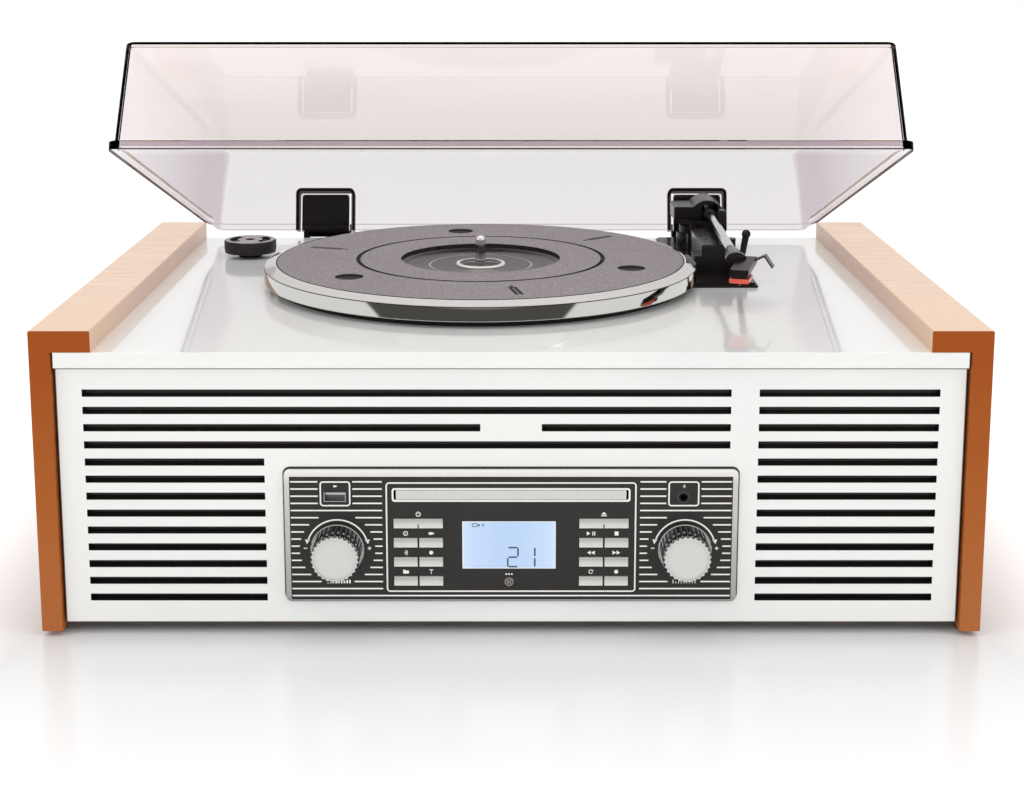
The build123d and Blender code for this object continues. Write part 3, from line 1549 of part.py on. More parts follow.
def line_out_sockets():
    """Pair of phono line-out sockets with collars outside the rear panel and a common body inside."""
    rear = front_y + cab_d
    z = foot_h + line_up
    half, tall = line_pitch / 2 + line_r + line_side, line_body_h / 2
    body = block(line_x - half, line_x + half, rear - rear_t - line_body_t, rear - rear_t, z - tall, z + tall)
    for side in (-1, 1):
        x = line_x + side * line_pitch / 2
        end = rear + line_collar_t + line_l
        body += rod_y(x, z, line_neck_r, rear - rear_t, rear)
        body += rod_y(x, z, line_collar_r, rear, rear + line_collar_t)
        body += rod_y(x, z, line_r - press, rear + line_collar_t, end)
        body -= rod_y(x, z, line_hole_r, rear, end + over)
    return body


def export_all():
    save(side_panel(-1), "side_panel_left")
    save(side_panel(1), "side_panel_right")
    for maker in (deck_board, front_panel, base_board, rear_panel, rubber_feet, cabinet_screws,
                  grille_cloth, speaker_frames, speaker_cones, control_bezel, control_fascia, display,
                  usb_socket, aux_jack, sensor_lens, main_board, transformer, cd_mechanism, cd_tray,
                  cord_gland, line_out_sockets, hinge_bases, hinge_arms, lid, platter, platter_mat,
                  spindle, turntable_chassis, drive_belt, motor, motor_pulley, adapter_45,
                  adapter_post, tonearm_base, pivot_housing, arm_tube, headshell, cartridge, stylus,
                  counterweight, cue_lever, lift_platform):
        save(maker(), maker.__name__)
    save(control_knob(-1), "volume_knob")
    save(control_knob(1), "tuning_knob")
    for name, x, z, w in button_table():
        save(push_button(x, z, w), name)


export_all()
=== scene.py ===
import json
from math import atan2, cos, degrees, pi, radians, sin, sqrt, tan

import bmesh
import bpy
from mathutils import Matrix, Vector


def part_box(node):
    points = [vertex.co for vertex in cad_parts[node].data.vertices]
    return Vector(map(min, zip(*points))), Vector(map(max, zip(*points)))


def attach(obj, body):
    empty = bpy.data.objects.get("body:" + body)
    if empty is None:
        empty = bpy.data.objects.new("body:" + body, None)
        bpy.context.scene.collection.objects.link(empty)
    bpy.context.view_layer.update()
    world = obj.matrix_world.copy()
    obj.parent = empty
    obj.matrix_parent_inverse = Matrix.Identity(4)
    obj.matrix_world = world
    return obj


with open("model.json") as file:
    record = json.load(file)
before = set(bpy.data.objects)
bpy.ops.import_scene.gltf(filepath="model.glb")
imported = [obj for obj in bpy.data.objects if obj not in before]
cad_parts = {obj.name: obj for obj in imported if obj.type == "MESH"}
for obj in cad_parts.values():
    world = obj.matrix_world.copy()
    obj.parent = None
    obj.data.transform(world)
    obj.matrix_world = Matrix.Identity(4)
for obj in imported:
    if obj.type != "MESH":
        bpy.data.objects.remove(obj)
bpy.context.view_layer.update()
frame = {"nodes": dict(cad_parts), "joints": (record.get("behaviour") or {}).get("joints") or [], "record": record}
MM = 0.001

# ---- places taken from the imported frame, in metres ----
fascia_lo, fascia_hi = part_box("control_fascia")
bezel_lo, bezel_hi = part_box("control_bezel")
platter_lo, platter_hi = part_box("platter")
RIM_LOW = platter_hi.z - 12.1 * MM
HUB = ((platter_lo.x + platter_hi.x) / 2, (platter_lo.y + platter_hi.y) / 2)
FASCIA_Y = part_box("cd_tray")[0].y
PANEL_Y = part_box("front_panel")[0].y
UNIT_Z = bezel_lo.z
MAT_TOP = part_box("platter_mat")[1].z
MAT_R = (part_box("platter_mat")[1].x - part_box("platter_mat")[0].x) / 2
JOINTS = {joint["name"]: joint for joint in frame["joints"]}


# ================= materials =================

def linear(r, g, b):
    """Linear colour of an sRGB colour given as 0 to 255."""
    def one(c):
        c /= 255
        return c / 12.92 if c <= 0.04045 else ((c + 0.055) / 1.055) ** 2.4
    return (one(r), one(g), one(b), 1.0)


class Finish:
    """A node material with short helpers; every finish reads object coordinates only."""

    def __init__(self, name, rough=0.4, metallic=0.0, specular=0.5, coat=0.0, coat_rough=0.05):
        self.mat = bpy.data.materials.new(name)
        self.mat.use_nodes = True
        self.nodes = self.mat.node_tree.nodes
        self.links = self.mat.node_tree.links
        self.shader = self.nodes["Principled BSDF"]
        self.shader.inputs["Roughness"].default_value = rough
        self.shader.inputs["Metallic"].default_value = metallic
        self.shader.inputs["Specular IOR Level"].default_value = specular
        self.shader.inputs["Coat Weight"].default_value = coat
        self.shader.inputs["Coat Roughness"].default_value = coat_rough
        self.coord = self.nodes.new("ShaderNodeTexCoord").outputs["Object"]

    def link(self, source, target):
        self.links.new(source, target)

    def math(self, op, a, b=0.0, clamp=False):
        node = self.nodes.new("ShaderNodeMath")
        node.operation = op
        node.use_clamp = clamp
        for socket, value in zip(node.inputs, (a, b)):
            if hasattr(value, "is_output"):
                self.link(value, socket)
            else:
                socket.default_value = value
        return node.outputs[0]

    def scaled(self, x, y, z):
        """Object coordinates stretched along each axis."""
        node = self.nodes.new("ShaderNodeMapping")
        node.inputs["Scale"].default_value = (x, y, z)
        self.link(self.coord, node.inputs["Vector"])
        return node.outputs[0]

    def noise(self, scale, detail=3.0, rough=0.55, vector=None, distortion=0.0):
        node = self.nodes.new("ShaderNodeTexNoise")
        node.inputs["Scale"].default_value = scale
        node.inputs["Detail"].default_value = detail
        node.inputs["Roughness"].default_value = rough
        node.inputs["Distortion"].default_value = distortion
        self.link(vector or self.coord, node.inputs["Vector"])
        return node.outputs["Fac"]

    def ramp(self, source, *stops):
        """Colour ramp from (position, colour) stops."""
        node = self.nodes.new("ShaderNodeValToRGB")
        bar = node.color_ramp.elements
        while len(bar) < len(stops):
            bar.new(0.5)
        for element, (at, colour) in zip(bar, stops):
            element.position = at
            element.color = colour
        self.link(source, node.inputs["Fac"])
        return node.outputs["Color"]

    def span(self, source, low, high, to_low=0.0, to_high=1.0):
        """Maps a value's range to another range, clamped."""
        node = self.nodes.new("ShaderNodeMapRange")
        for key, value in (("From Min", low), ("From Max", high), ("To Min", to_low), ("To Max", to_high)):
            node.inputs[key].default_value = value
        self.link(source, node.inputs["Value"])
        return node.outputs["Result"]

    def mix(self, fac, a, b):
        """Colour a where fac is 0 and b where it is 1; each is a socket or a colour."""
        node = self.nodes.new("ShaderNodeMix")
        node.data_type = "RGBA"
        self.link(fac, node.inputs["Factor"])
        for socket, value in zip((node.inputs[6], node.inputs[7]), (a, b)):
            if hasattr(value, "is_output"):
                self.link(value, socket)
            else:
                socket.default_value = value
        return node.outputs[2]

    def axes(self):
        node = self.nodes.new("ShaderNodeSeparateXYZ")
        self.link(self.coord, node.inputs[0])
        return node.outputs

    def above(self, value, limit, soft=0.00005):
        """1 where value is over limit, else 0."""
        return self.span(value, limit - soft, limit + soft)

    def below(self, value, limit, soft=0.00005):
        return self.span(value, limit + soft, limit - soft)

    def all_of(self, *masks):
        product = masks[0]
        for mask in masks[1:]:
            product = self.math("MULTIPLY", product, mask)
        return product

    def radius(self, x, y, first="X", second="Y"):
        """Distance from an axis through x, y (of the two named coordinates)."""
        out = self.axes()
        dx = self.math("SUBTRACT", out[first], x)
        dy = self.math("SUBTRACT", out[second], y)
        return self.math("SQRT", self.math("ADD", self.math("MULTIPLY", dx, dx), self.math("MULTIPLY", dy, dy)))

    def normal(self):
        """Components of the surface's own normal, as it lies in the row frame at rest."""
        node = self.nodes.new("ShaderNodeSeparateXYZ")
        self.link(self.nodes.new("ShaderNodeTexCoord").outputs["Normal"], node.inputs[0])
        return node.outputs

    def bump(self, source, strength, distance):
        node = self.nodes.new("ShaderNodeBump")
        node.inputs["Strength"].default_value = strength
        node.inputs["Distance"].default_value = distance
        self.link(source, node.inputs["Height"])
        self.link(node.outputs[0], self.shader.inputs["Normal"])

    def base(self, source):
        self.link(source, self.shader.inputs["Base Color"])

    def rough(self, source):
        self.link(source, self.shader.inputs["Roughness"])


def plain_finish(name, low, high, rough, metallic=0.0, specular=0.5, coat=0.0, grain=900.0, bump=0.1, spread=0.05):
    """Moulded, painted or plated surface: slight colour drift, uneven gloss and fine grain."""
    f = Finish(name, rough, metallic, specular, coat)
    f.base(f.ramp(f.noise(38.0), (0.3, low), (0.7, high)))
    f.rough(f.span(f.noise(120.0, 4.0), 0.3, 0.7, max(rough - spread, 0.02), rough + spread))
    f.bump(f.noise(grain, 2.0), bump, 0.00004)
    return f.mat


# the lid's levels on axes through its hinge, with the lid closed
LID_RIM = -2.2 * MM
LID_REAR = -17.0 * MM
LID_FRONT = LID_REAR - 363.7 * MM
LID_SIDE = 229.7 * MM


def wood_finish():
    """Lacquered veneer: orange-brown edges and fine grain across the rail; the paler top faces and inner side faces are
    a painted sheen of the lacquer.
    """
    f = Finish("wood_veneer", 0.36, specular=0.18, coat=0.04, coat_rough=0.15)
    n = f.normal()
    out = f.axes()
    up = f.span(n["Z"], 0.5, 0.8)
    sideways = f.span(f.math("ABSOLUTE", n["X"]), 0.5, 0.8)
    cross = f.noise(60.0, 6.0, 0.62, f.scaled(0.35, 9.0, 3.0), 0.6)
    streak = f.noise(26.0, 5.0, 0.6, f.scaled(0.8, 3.0, 1.0), 0.4)
    long_grain = f.noise(40.0, 6.0, 0.6, f.scaled(3.0, 0.35, 6.0), 0.5)
    # painted sheen: top faces get paler colours than the edges, and a plainer one towards the front
    top = f.ramp(cross, (0.3, linear(214, 172, 140)), (0.46, linear(238, 208, 182)), (0.6, linear(243, 218, 196)),
                 (0.75, linear(247, 227, 209)))
    near = f.span(out["Y"], -0.188, -0.06)
    top = f.mix(near, f.mix(up, top, linear(240, 206, 176)), top)
    level = f.span(out["Z"], 0.0, 0.17)
    edge = f.ramp(f.math("ADD", level, f.math("MULTIPLY", f.math("SUBTRACT", streak, 0.5), 0.35)),
                  (0.0, linear(176, 104, 56)), (0.45, linear(170, 92, 34)), (0.95, linear(158, 74, 8)))
    side = f.ramp(long_grain, (0.28, linear(160, 86, 34)), (0.5, linear(180, 104, 52)), (0.75, linear(192, 120, 66)))
    # painted sheen: the inner side faces are coloured paler than the outer ones
    inner = f.below(f.math("ABSOLUTE", out["X"]), 0.24)
    side = f.mix(inner, side, f.mix(near, linear(232, 197, 168), linear(219, 189, 171)))
    f.base(f.mix(up, f.mix(sideways, edge, side), top))
    f.rough(f.span(cross, 0.3, 0.7, 0.3, 0.42))
    f.bump(cross, 0.12, 0.0001)
    return f.mat


def lacquer_finish():
    """Glossy white lacquer with a faint orange peel."""
    f = Finish("white_lacquer", 0.16, specular=0.5, coat=0.6, coat_rough=0.04)
    f.base(f.ramp(f.noise(9.0, 2.0), (0.3, linear(236, 237, 235)), (0.7, linear(241, 241, 239))))
    f.rough(f.span(f.noise(30.0, 3.0), 0.3, 0.7, 0.12, 0.2))
    f.bump(f.noise(420.0, 2.0), 0.05, 0.00003)
    return f.mat


def panel_finish():
    """The lacquered front; the inside walls of its sound slots are coloured near black."""
    f = Finish("slotted_lacquer", 0.16, specular=0.5, coat=0.6, coat_rough=0.04)
    white = f.ramp(f.noise(9.0, 2.0), (0.3, linear(236, 237, 235)), (0.7, linear(241, 241, 239)))
    out = f.axes()
    lo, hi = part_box("front_panel")
    inside = f.all_of(f.above(out["Y"], PANEL_Y + 0.25 * MM), f.above(out["Z"], lo.z + 2 * MM),
                      f.below(out["Z"], hi.z - 2 * MM), f.below(f.math("ABSOLUTE", out["X"]), hi.x - 2 * MM))
    black = f.ramp(f.noise(300.0), (0.3, linear(24, 21, 20)), (0.7, linear(30, 27, 26)))
    f.base(f.mix(inside, white, black))
    f.rough(f.span(inside, 0.0, 1.0, 0.14, 0.7))
    f.bump(f.noise(420.0, 2.0), 0.05, 0.00003)
    return f.mat


def cloth_finish():
    """Black woven grille cloth."""
    f = Finish("grille_weave", 0.9, specular=0.15)
    out = f.axes()
    warp = f.math("SINE", f.math("MULTIPLY", out["X"], 5200.0))
    weft = f.math("SINE", f.math("MULTIPLY", out["Z"], 5200.0))
    weave = f.span(f.math("MULTIPLY", warp, weft), -1.0, 1.0)
    f.base(f.ramp(weave, (0.2, linear(58, 54, 52)), (0.8, linear(88, 83, 80))))
    f.bump(weave, 0.5, 0.0002)
    return f.mat


def lid_finish():
    """Smoked clear acrylic; its dark edges are painted shade and its white lines painted highlights; masks are drawn on
    the closed lid's own axes.
    """
    f = Finish("smoked_acrylic", 0.012, specular=0.3)
    f.shader.inputs["IOR"].default_value = 1.05
    hinge = JOINTS["lid_hinge"]
    turn = -radians(hinge["range_deg"][0])
    pivot = Vector(hinge["pos_m"])
    node = f.nodes.new("ShaderNodeMapping")
    spin = Matrix.Rotation(turn, 3, "X")
    node.inputs["Rotation"].default_value = (turn, 0.0, 0.0)
    node.inputs["Location"].default_value = -(spin @ pivot)
    f.link(f.coord, node.inputs["Vector"])
    split = f.nodes.new("ShaderNodeSeparateXYZ")
    f.link(node.outputs[0], split.inputs[0])
    x, y, z = f.math("ABSOLUTE", split.outputs[0]), split.outputs[1], split.outputs[2]
    rim, front, side = LID_RIM, LID_FRONT, LID_SIDE
    outside = f.math("MAXIMUM", f.above(x, side + 0.3 * MM), f.below(y, front - 0.3 * MM))
    lip = f.all_of(outside, f.below(z, rim + 5.2 * MM))
    mauve = f.all_of(lip, f.above(z, rim + 1.4 * MM), f.below(z, rim + 4.7 * MM), f.below(x, side + 0.3 * MM))
    # dark lines along the lip's lower and upper edges are painted shade; the white faces round them (gleam) are a
    # painted highlight
    line = f.math("MAXIMUM", f.all_of(lip, f.below(z, rim + 0.45 * MM)),
                  f.all_of(lip, f.above(z, rim + 4.35 * MM), f.below(z, rim + 4.75 * MM)))
    gleam = f.all_of(f.math("MAXIMUM", outside, f.below(y, front + 1.2 * MM)), f.below(z, rim + 6.4 * MM))
    # front top edge and the two upright front corners, darkened as painted shade along the acrylic's edges
    top_edge = f.all_of(f.above(z, rim + 62.7 * MM), f.below(y, front + 5.2 * MM))
    lean = f.span(z, rim, rim + 64.6 * MM, 0.0, 4.6 * MM)
    upright = f.math("ADD", x, lean)
    ahead = f.math("SUBTRACT", y, lean)
    corner = f.all_of(f.above(upright, side - 1.4 * MM), f.below(ahead, front + 2.0 * MM),
                      f.above(z, rim + 5.2 * MM))
    # the rest of the thickness behind those edges, which catches the light
    pale_top = f.all_of(f.above(z, rim + 61.1 * MM), f.below(z, rim + 62.7 * MM), f.below(ahead, front + 0.6 * MM))
    pale_side = f.all_of(f.above(upright, side - 3.4 * MM), f.below(upright, side - 1.4 * MM),
                         f.below(ahead, front + 1.2 * MM), f.above(z, rim + 5.2 * MM), f.below(z, rim + 62.7 * MM))
    pale = f.math("MAXIMUM", pale_top, pale_side)
    f.link(f.math("SUBTRACT", 1.0, pale), f.shader.inputs["Transmission Weight"])
    dark = f.math("MAXIMUM", f.math("MAXIMUM", top_edge, corner), line)
    # outline of the two hinge pockets on the rear wall: a dark band of painted shade with a white inner line of painted
    # highlight
    dx = f.math("MAXIMUM", f.math("SUBTRACT", f.math("ABSOLUTE", f.math("SUBTRACT", x, 146.0 * MM)), 18.75 * MM), 0.0)
    dz = f.math("MAXIMUM", f.math("SUBTRACT", z, rim + 28.8 * MM), 0.0)
    reach = f.math("SQRT", f.math("ADD", f.math("MULTIPLY", dx, dx), f.math("MULTIPLY", dz, dz)))
    at_rear = f.above(y, LID_REAR - 9 * MM)
    pocket_shade = f.all_of(f.above(reach, 1.7 * MM), f.below(reach, 4.3 * MM), at_rear)
    bright = f.all_of(f.above(reach, 0.4 * MM), f.below(reach, 1.7 * MM), at_rear)
    dark = f.math("MAXIMUM", dark, pocket_shade)
    # panes: front, top (deeper towards the hinges), rear and sides
    depth = f.span(y, front, LID_REAR, 0.0, 1.0)
    drift = f.math("MULTIPLY", f.math("SUBTRACT", f.noise(14.0, 2.0), 0.5), 0.25)
    top_tint = f.ramp(f.math("ADD", depth, drift), (0.0, (0.955, 0.912, 0.905, 1)), (0.5, (0.82, 0.782, 0.768, 1)),
                      (1.0, (0.75, 0.74, 0.705, 1)))
    on_top = f.above(z, rim + 60.5 * MM, 0.2 * MM)
    flank = f.all_of(f.above(x, side - 8.5 * MM, 0.2 * MM), f.below(y, LID_REAR - 8 * MM))
    # dark lines along the rear wall's foot: painted shade
    foot = f.all_of(at_rear, f.math("MAXIMUM", f.below(z, rim + 0.7 * MM),
                                    f.all_of(f.above(z, rim + 4.4 * MM), f.below(z, rim + 5.1 * MM))))
    walls = f.mix(at_rear, (0.965, 0.935, 0.928, 1), (0.735, 0.715, 0.735, 1))
    walls = f.mix(foot, walls, (0.45, 0.42, 0.44, 1))
    # the sides are tinted where they are seen under the front wall, and pale where they are seen through it
    sight = f.math("SUBTRACT", f.math("SUBTRACT", z, rim), f.math("MULTIPLY", f.math("SUBTRACT", y, front), 0.176))
    side_tint = f.mix(f.above(sight, 0.0, 4.0 * MM),
                      f.ramp(depth, (0.0, (0.79, 0.76, 0.775, 1)), (0.75, (0.56, 0.50, 0.535, 1))),
                      f.ramp(depth, (0.0, (0.93, 0.90, 0.90, 1)), (0.75, (0.78, 0.74, 0.74, 1))))
    walls = f.mix(flank, walls, side_tint)
    walls = f.mix(on_top, walls, top_tint)
    walls = f.mix(f.math("MAXIMUM", bright, gleam), walls, (1.0, 1.0, 1.0, 1))
    tinted = f.mix(mauve, walls, (0.34, 0.24, 0.30, 1))
    f.base(f.mix(dark, f.mix(pale, tinted, linear(226, 218, 216)), (0.006, 0.004, 0.005, 1)))
    path = f.nodes.new("ShaderNodeLightPath")
    soft = f.math("MAXIMUM", path.outputs["Is Shadow Ray"], path.outputs["Is Diffuse Ray"])
    through = f.nodes.new("ShaderNodeBsdfTransparent")
    through.inputs["Color"].default_value = (0.985, 0.976, 0.978, 1.0)
    either = f.nodes.new("ShaderNodeMixShader")
    f.link(soft, either.inputs[0])
    f.link(f.shader.outputs[0], either.inputs[1])
    f.link(through.outputs[0], either.inputs[2])
    out = f.nodes["Material Output"]
    f.link(either.outputs[0], out.inputs["Surface"])
    smoke = f.nodes.new("ShaderNodeVolumeAbsorption")
    smoke.inputs["Color"].default_value = (0.6, 0.5, 0.52, 1.0)
    smoke.inputs["Density"].default_value = 8.0
    f.link(smoke.outputs[0], out.inputs["Volume"])
    return f.mat


def platter_finish():
    """Turned casting: polished rim outside the mat, dark fine-turned dish inside it."""
    f = Finish("turned_platter", 0.08, 1.0)
    f.shader.inputs["Anisotropic"].default_value = 0.8
    tangent = f.nodes.new("ShaderNodeTangent")
    tangent.direction_type = "RADIAL"
    tangent.axis = "Z"
    f.link(tangent.outputs[0], f.shader.inputs["Tangent"])
    r = f.radius(*HUB)
    rings = f.noise(900.0, 2.0, 0.5, radial_vector(f, r))
    dish = f.span(r, 0.0575, 0.0565)
    hub = f.span(r, 0.0172, 0.0168)
    well = f.span(r, 0.0142, 0.0138)
    dark = f.ramp(rings, (0.3, linear(72, 68, 71)), (0.7, linear(128, 122, 126)))
    bright = f.ramp(rings, (0.3, linear(222, 222, 220)), (0.7, linear(236, 236, 235)))
    pit = linear(38, 35, 36)
    # painted highlight: a light line at r 35 mm where the dish has a step
    step = f.all_of(f.above(r, 34.6 * MM), f.below(r, 35.4 * MM))
    seam = f.all_of(f.above(r, platter_hi.x - HUB[0] - 0.55 * MM), f.above(f.axes()["Z"], RIM_LOW + 8.95 * MM),
                    f.below(f.axes()["Z"], RIM_LOW + 9.5 * MM))
    dark = f.mix(step, dark, linear(205, 200, 204))
    edge = f.above(r, platter_hi.x - HUB[0] - 0.2 * MM)
    bright = f.mix(edge, bright, linear(206, 206, 202))
    bright = f.mix(seam, bright, linear(70, 67, 67))
    f.base(f.mix(well, f.mix(hub, f.mix(dish, bright, dark), bright), pit))
    f.rough(f.span(dish, 0.0, 1.0, 0.05, 0.36))
    # the rim's wall is slightly crowned, so that it mirrors the room over the rails
    z = f.axes()["Z"]
    wall = f.all_of(f.above(r, platter_hi.x - HUB[0] - 0.2 * MM), f.below(z, RIM_LOW + 9.3 * MM))
    crown = f.span(z, RIM_LOW, RIM_LOW + 9.0 * MM, 0.36, 0.46)
    lean = f.nodes.new("ShaderNodeCombineXYZ")
    f.link(f.math("MULTIPLY", wall, crown), lean.inputs["Z"])
    bent = f.nodes.new("ShaderNodeVectorMath")
    f.link(f.nodes.new("ShaderNodeNewGeometry").outputs["Normal"], bent.inputs[0])
    f.link(lean.outputs[0], bent.inputs[1])
    unit = f.nodes.new("ShaderNodeVectorMath")
    unit.operation = "NORMALIZE"
    f.link(bent.outputs[0], unit.inputs[0])
    f.link(unit.outputs[0], f.shader.inputs["Normal"])
    return f.mat


def radial_vector(f, r):
    node = f.nodes.new("ShaderNodeCombineXYZ")
    f.link(r, node.inputs["X"])
    return node.outputs[0]


def mat_finish():
    """Speckled grey rubber; its sunk floors, outer edge, groove ring and slits are darkened as painted shade, and the
    oval pads are dark, partly their own colour and partly painted shade.
    """
    f = Finish("speckled_rubber", 0.7, specular=0.18)
    speck = f.noise(1500.0, 2.0, 0.7)
    cloudy = f.noise(20.0, 3.0)
    colour = f.ramp(speck, (0.38, linear(98, 93, 96)), (0.5, linear(142, 136, 139)), (0.62, linear(184, 176, 180)))
    colour = f.mix(f.span(cloudy, 0.3, 0.7, 0.0, 0.25), colour, linear(132, 126, 129))
    # painted shade: every sunk floor, the mat's outer edge and the groove ring are darkened
    sunk = f.below(f.axes()["Z"], MAT_TOP - 0.3 * MM)
    r = f.radius(*HUB)
    rim = f.math("MAXIMUM", f.above(r, MAT_R - 0.7 * MM), f.all_of(f.above(r, 82.2 * MM), f.below(r, 85.2 * MM)))
    out = f.axes()
    dx, dy = f.math("SUBTRACT", out["X"], HUB[0]), f.math("SUBTRACT", out["Y"], HUB[1])
    marks = f.math("MAXIMUM", sunk, rim)
    # painted shade along the three slits, with each slit's middle left light
    for turn in (42, 162, 282):
        c, d = cos(radians(turn)), sin(radians(turn))
        along = f.math("ADD", f.math("MULTIPLY", dx, c), f.math("MULTIPLY", dy, d))
        across = f.math("ABSOLUTE", f.math("SUBTRACT", f.math("MULTIPLY", dy, c), f.math("MULTIPLY", dx, d)))
        strip = f.all_of(f.below(across, 2.7 * MM), f.above(along, 103 * MM), f.below(along, 127 * MM))
        middle = f.math("SUBTRACT", 1.0, f.all_of(strip, f.below(across, 0.7 * MM)))
        marks = f.math("MULTIPLY", f.math("MAXIMUM", marks, strip), middle)
    # the three oval pads are dark, and painted shade widens them past their recesses
    for turn in (-21, 99, 219):
        cx, cy = 108 * MM * cos(radians(turn)), 108 * MM * sin(radians(turn))
        gx = f.math("SUBTRACT", dx, cx)
        gy = f.math("SUBTRACT", dy, cy)
        reach = f.math("ADD", f.math("MULTIPLY", f.math("MULTIPLY", gx, gx), 1.0),
                       f.math("MULTIPLY", f.math("MULTIPLY", gy, gy), 0.85))
        marks = f.math("MAXIMUM", marks, f.below(reach, (9.3 * MM) ** 2, 0.0000005))
    grip = f.span(f.math("MULTIPLY", f.math("SINE", f.math("MULTIPLY", out["X"], 3600.0)),
                         f.math("SINE", f.math("MULTIPLY", out["Y"], 3600.0))), -0.2, 0.8)
    shade_and_pad_dark = f.ramp(grip, (0.0, linear(20, 18, 19)), (1.0, linear(50, 46, 48)))
    f.base(f.mix(marks, colour, shade_and_pad_dark))
    f.bump(speck, 0.4, 0.0002)
    return f.mat


def knob_finish():
    """Plated knob: chrome sides and ring, satin face."""
    f = Finish("plated_knob", 0.1, 1.0)
    front = f.below(f.axes()["Y"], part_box("volume_knob")[0].y + 2.0 * MM)
    satin = f.ramp(f.noise(700.0, 3.0), (0.3, linear(207, 207, 205)), (0.7, linear(213, 213, 211)))
    chrome = f.ramp(f.noise(60.0), (0.3, linear(150, 149, 148)), (0.7, linear(170, 169, 168)))
    face = f.math("MULTIPLY", front, f.span(f.math("ABSOLUTE", f.normal()["Y"]), 0.8, 0.95))
    f.base(f.mix(face, chrome, satin))
    f.rough(f.span(face, 0.0, 1.0, 0.06, 0.42))
    f.link(f.span(face, 0.0, 1.0, 1.0, 0.0), f.shader.inputs["Metallic"])
    return f.mat


def display_finish():
    """Lit display: pale blue, a little brighter towards its edges."""
    f = Finish("lit_display", 0.2, specular=0.3)
    lo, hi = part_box("display")
    mid, half = (lo.x + hi.x) / 2, (hi.x - lo.x) / 2
    side = f.math("DIVIDE", f.math("ABSOLUTE", f.math("SUBTRACT", f.axes()["X"], mid)), half)
    colour = f.ramp(f.math("ADD", side, f.math("MULTIPLY", f.noise(30.0), 0.12)),
                    (0.2, linear(190, 214, 248)), (0.8, linear(200, 222, 252)), (1.0, linear(216, 232, 253)))
    f.shader.inputs["Base Color"].default_value = (0.02, 0.03, 0.04, 1.0)
    f.link(colour, f.shader.inputs["Emission Color"])
    f.shader.inputs["Emission Strength"].default_value = 0.95
    return f.mat


def brushed(name, low, high, rough, scale, metallic=1.0):
    """Metal with fine lines; scale gives how far each axis is stretched."""
    f = Finish(name, rough, metallic)
    lines = f.noise(500.0, 3.0, 0.6, f.scaled(*scale))
    f.base(f.ramp(lines, (0.3, low), (0.7, high)))
    f.rough(f.span(lines, 0.3, 0.7, rough - 0.05, rough + 0.07))
    f.bump(lines, 0.06, 0.00004)
    return f.mat


def trim_finish():
    """Satin silver frame, paler above and shaded towards its bottom edge."""
    f = Finish("silver_trim", 0.26, 0.85)
    level = f.span(f.axes()["Z"], bezel_lo.z, bezel_hi.z)
    lines = f.noise(2600.0, 2.0, 0.5, f.scaled(0.05, 1.0, 1.0))
    shade = f.math("ADD", level, f.math("MULTIPLY", f.math("SUBTRACT", lines, 0.5), 0.02))
    f.base(f.ramp(shade, (0.0, linear(150, 154, 156)), (0.05, linear(178, 176, 174)), (0.9, linear(206, 201, 197)),
                  (1.0, linear(236, 234, 232))))
    f.rough(f.span(lines, 0.3, 0.7, 0.25, 0.27))
    return f.mat


def satin_finish(name, low, high, rows=()):
    """Silver lacquer; each row of keys is shaded under a bright upper edge and paler towards its lower one."""
    f = Finish(name, 0.34)
    colour = f.ramp(f.noise(500.0, 2.0), (0.3, low), (0.7, high))
    z = f.axes()["Z"]
    for row_lo, row_hi in rows:
        within = f.all_of(f.above(z, row_lo - 0.5 * MM), f.below(z, row_hi + 0.5 * MM))
        shade = f.ramp(f.math("ADD", f.span(z, row_lo, row_hi), f.math("MULTIPLY", f.noise(700.0), 0.02)),
                       (0.09, linear(250, 250, 247)), (0.15, linear(222, 222, 218)), (0.5, linear(208, 208, 205)),
                       (0.78, linear(176, 173, 172)), (0.88, linear(194, 194, 191)), (0.93, linear(238, 240, 236)))
        colour = f.mix(within, colour, shade)
    f.base(colour)
    f.rough(f.span(f.noise(90.0), 0.3, 0.7, 0.3, 0.38))
    f.bump(f.noise(1800.0, 2.0), 0.06, 0.00003)
    return f.mat


def key_rows():
    """Lower and upper level of each row of keys."""
    names = ("power_button", "cd_button", "wireless_button", "folder_button")
    boxes = [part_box(name) for name in names]
    return [(lo.z, hi.z) for lo, hi in boxes]


def arm_finish():
    """Polished tube between a black exit sleeve and the black flared end."""
    f = Finish("arm_tube_finish", 0.12, 1.0, specular=0.2)
    y = f.axes()["Y"]
    pivot = JOINTS["arm_swing"]["pos_m"]
    black = f.math("MAXIMUM", f.above(y, pivot[1] - 34.0 * MM), f.below(y, pivot[1] - 176.0 * MM))
    metal = f.ramp(f.noise(80.0), (0.3, linear(206, 206, 208)), (0.7, linear(224, 224, 226)))
    gloss = f.ramp(f.noise(80.0), (0.3, linear(28, 24, 25)), (0.7, linear(34, 30, 31)))
    f.base(f.mix(black, metal, gloss))
    f.rough(f.span(black, 0.0, 1.0, 0.1, 0.2))
    f.link(f.span(black, 0.0, 1.0, 1.0, 0.0), f.shader.inputs["Metallic"])
    return f.mat


def adapter_finish():
    """Black adapter whose top face is coloured a lighter grey: a painted sheen."""
    f = Finish("adapter_black", 0.35, specular=0.2)
    # painted sheen: the top face is coloured lighter grey
    top = f.all_of(f.above(f.normal()["Z"], 0.9, 0.02), f.above(f.axes()["Z"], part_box("adapter_45")[1].z - 0.4 * MM))
    top_sheen = f.ramp(f.noise(240.0), (0.3, linear(150, 144, 147)), (0.7, linear(180, 173, 176)))
    plain = f.ramp(f.noise(240.0), (0.3, linear(34, 30, 31)), (0.7, linear(40, 36, 37)))
    f.base(f.mix(top, plain, top_sheen))
    f.rough(f.span(top, 0.0, 1.0, 0.4, 0.5))
    return f.mat


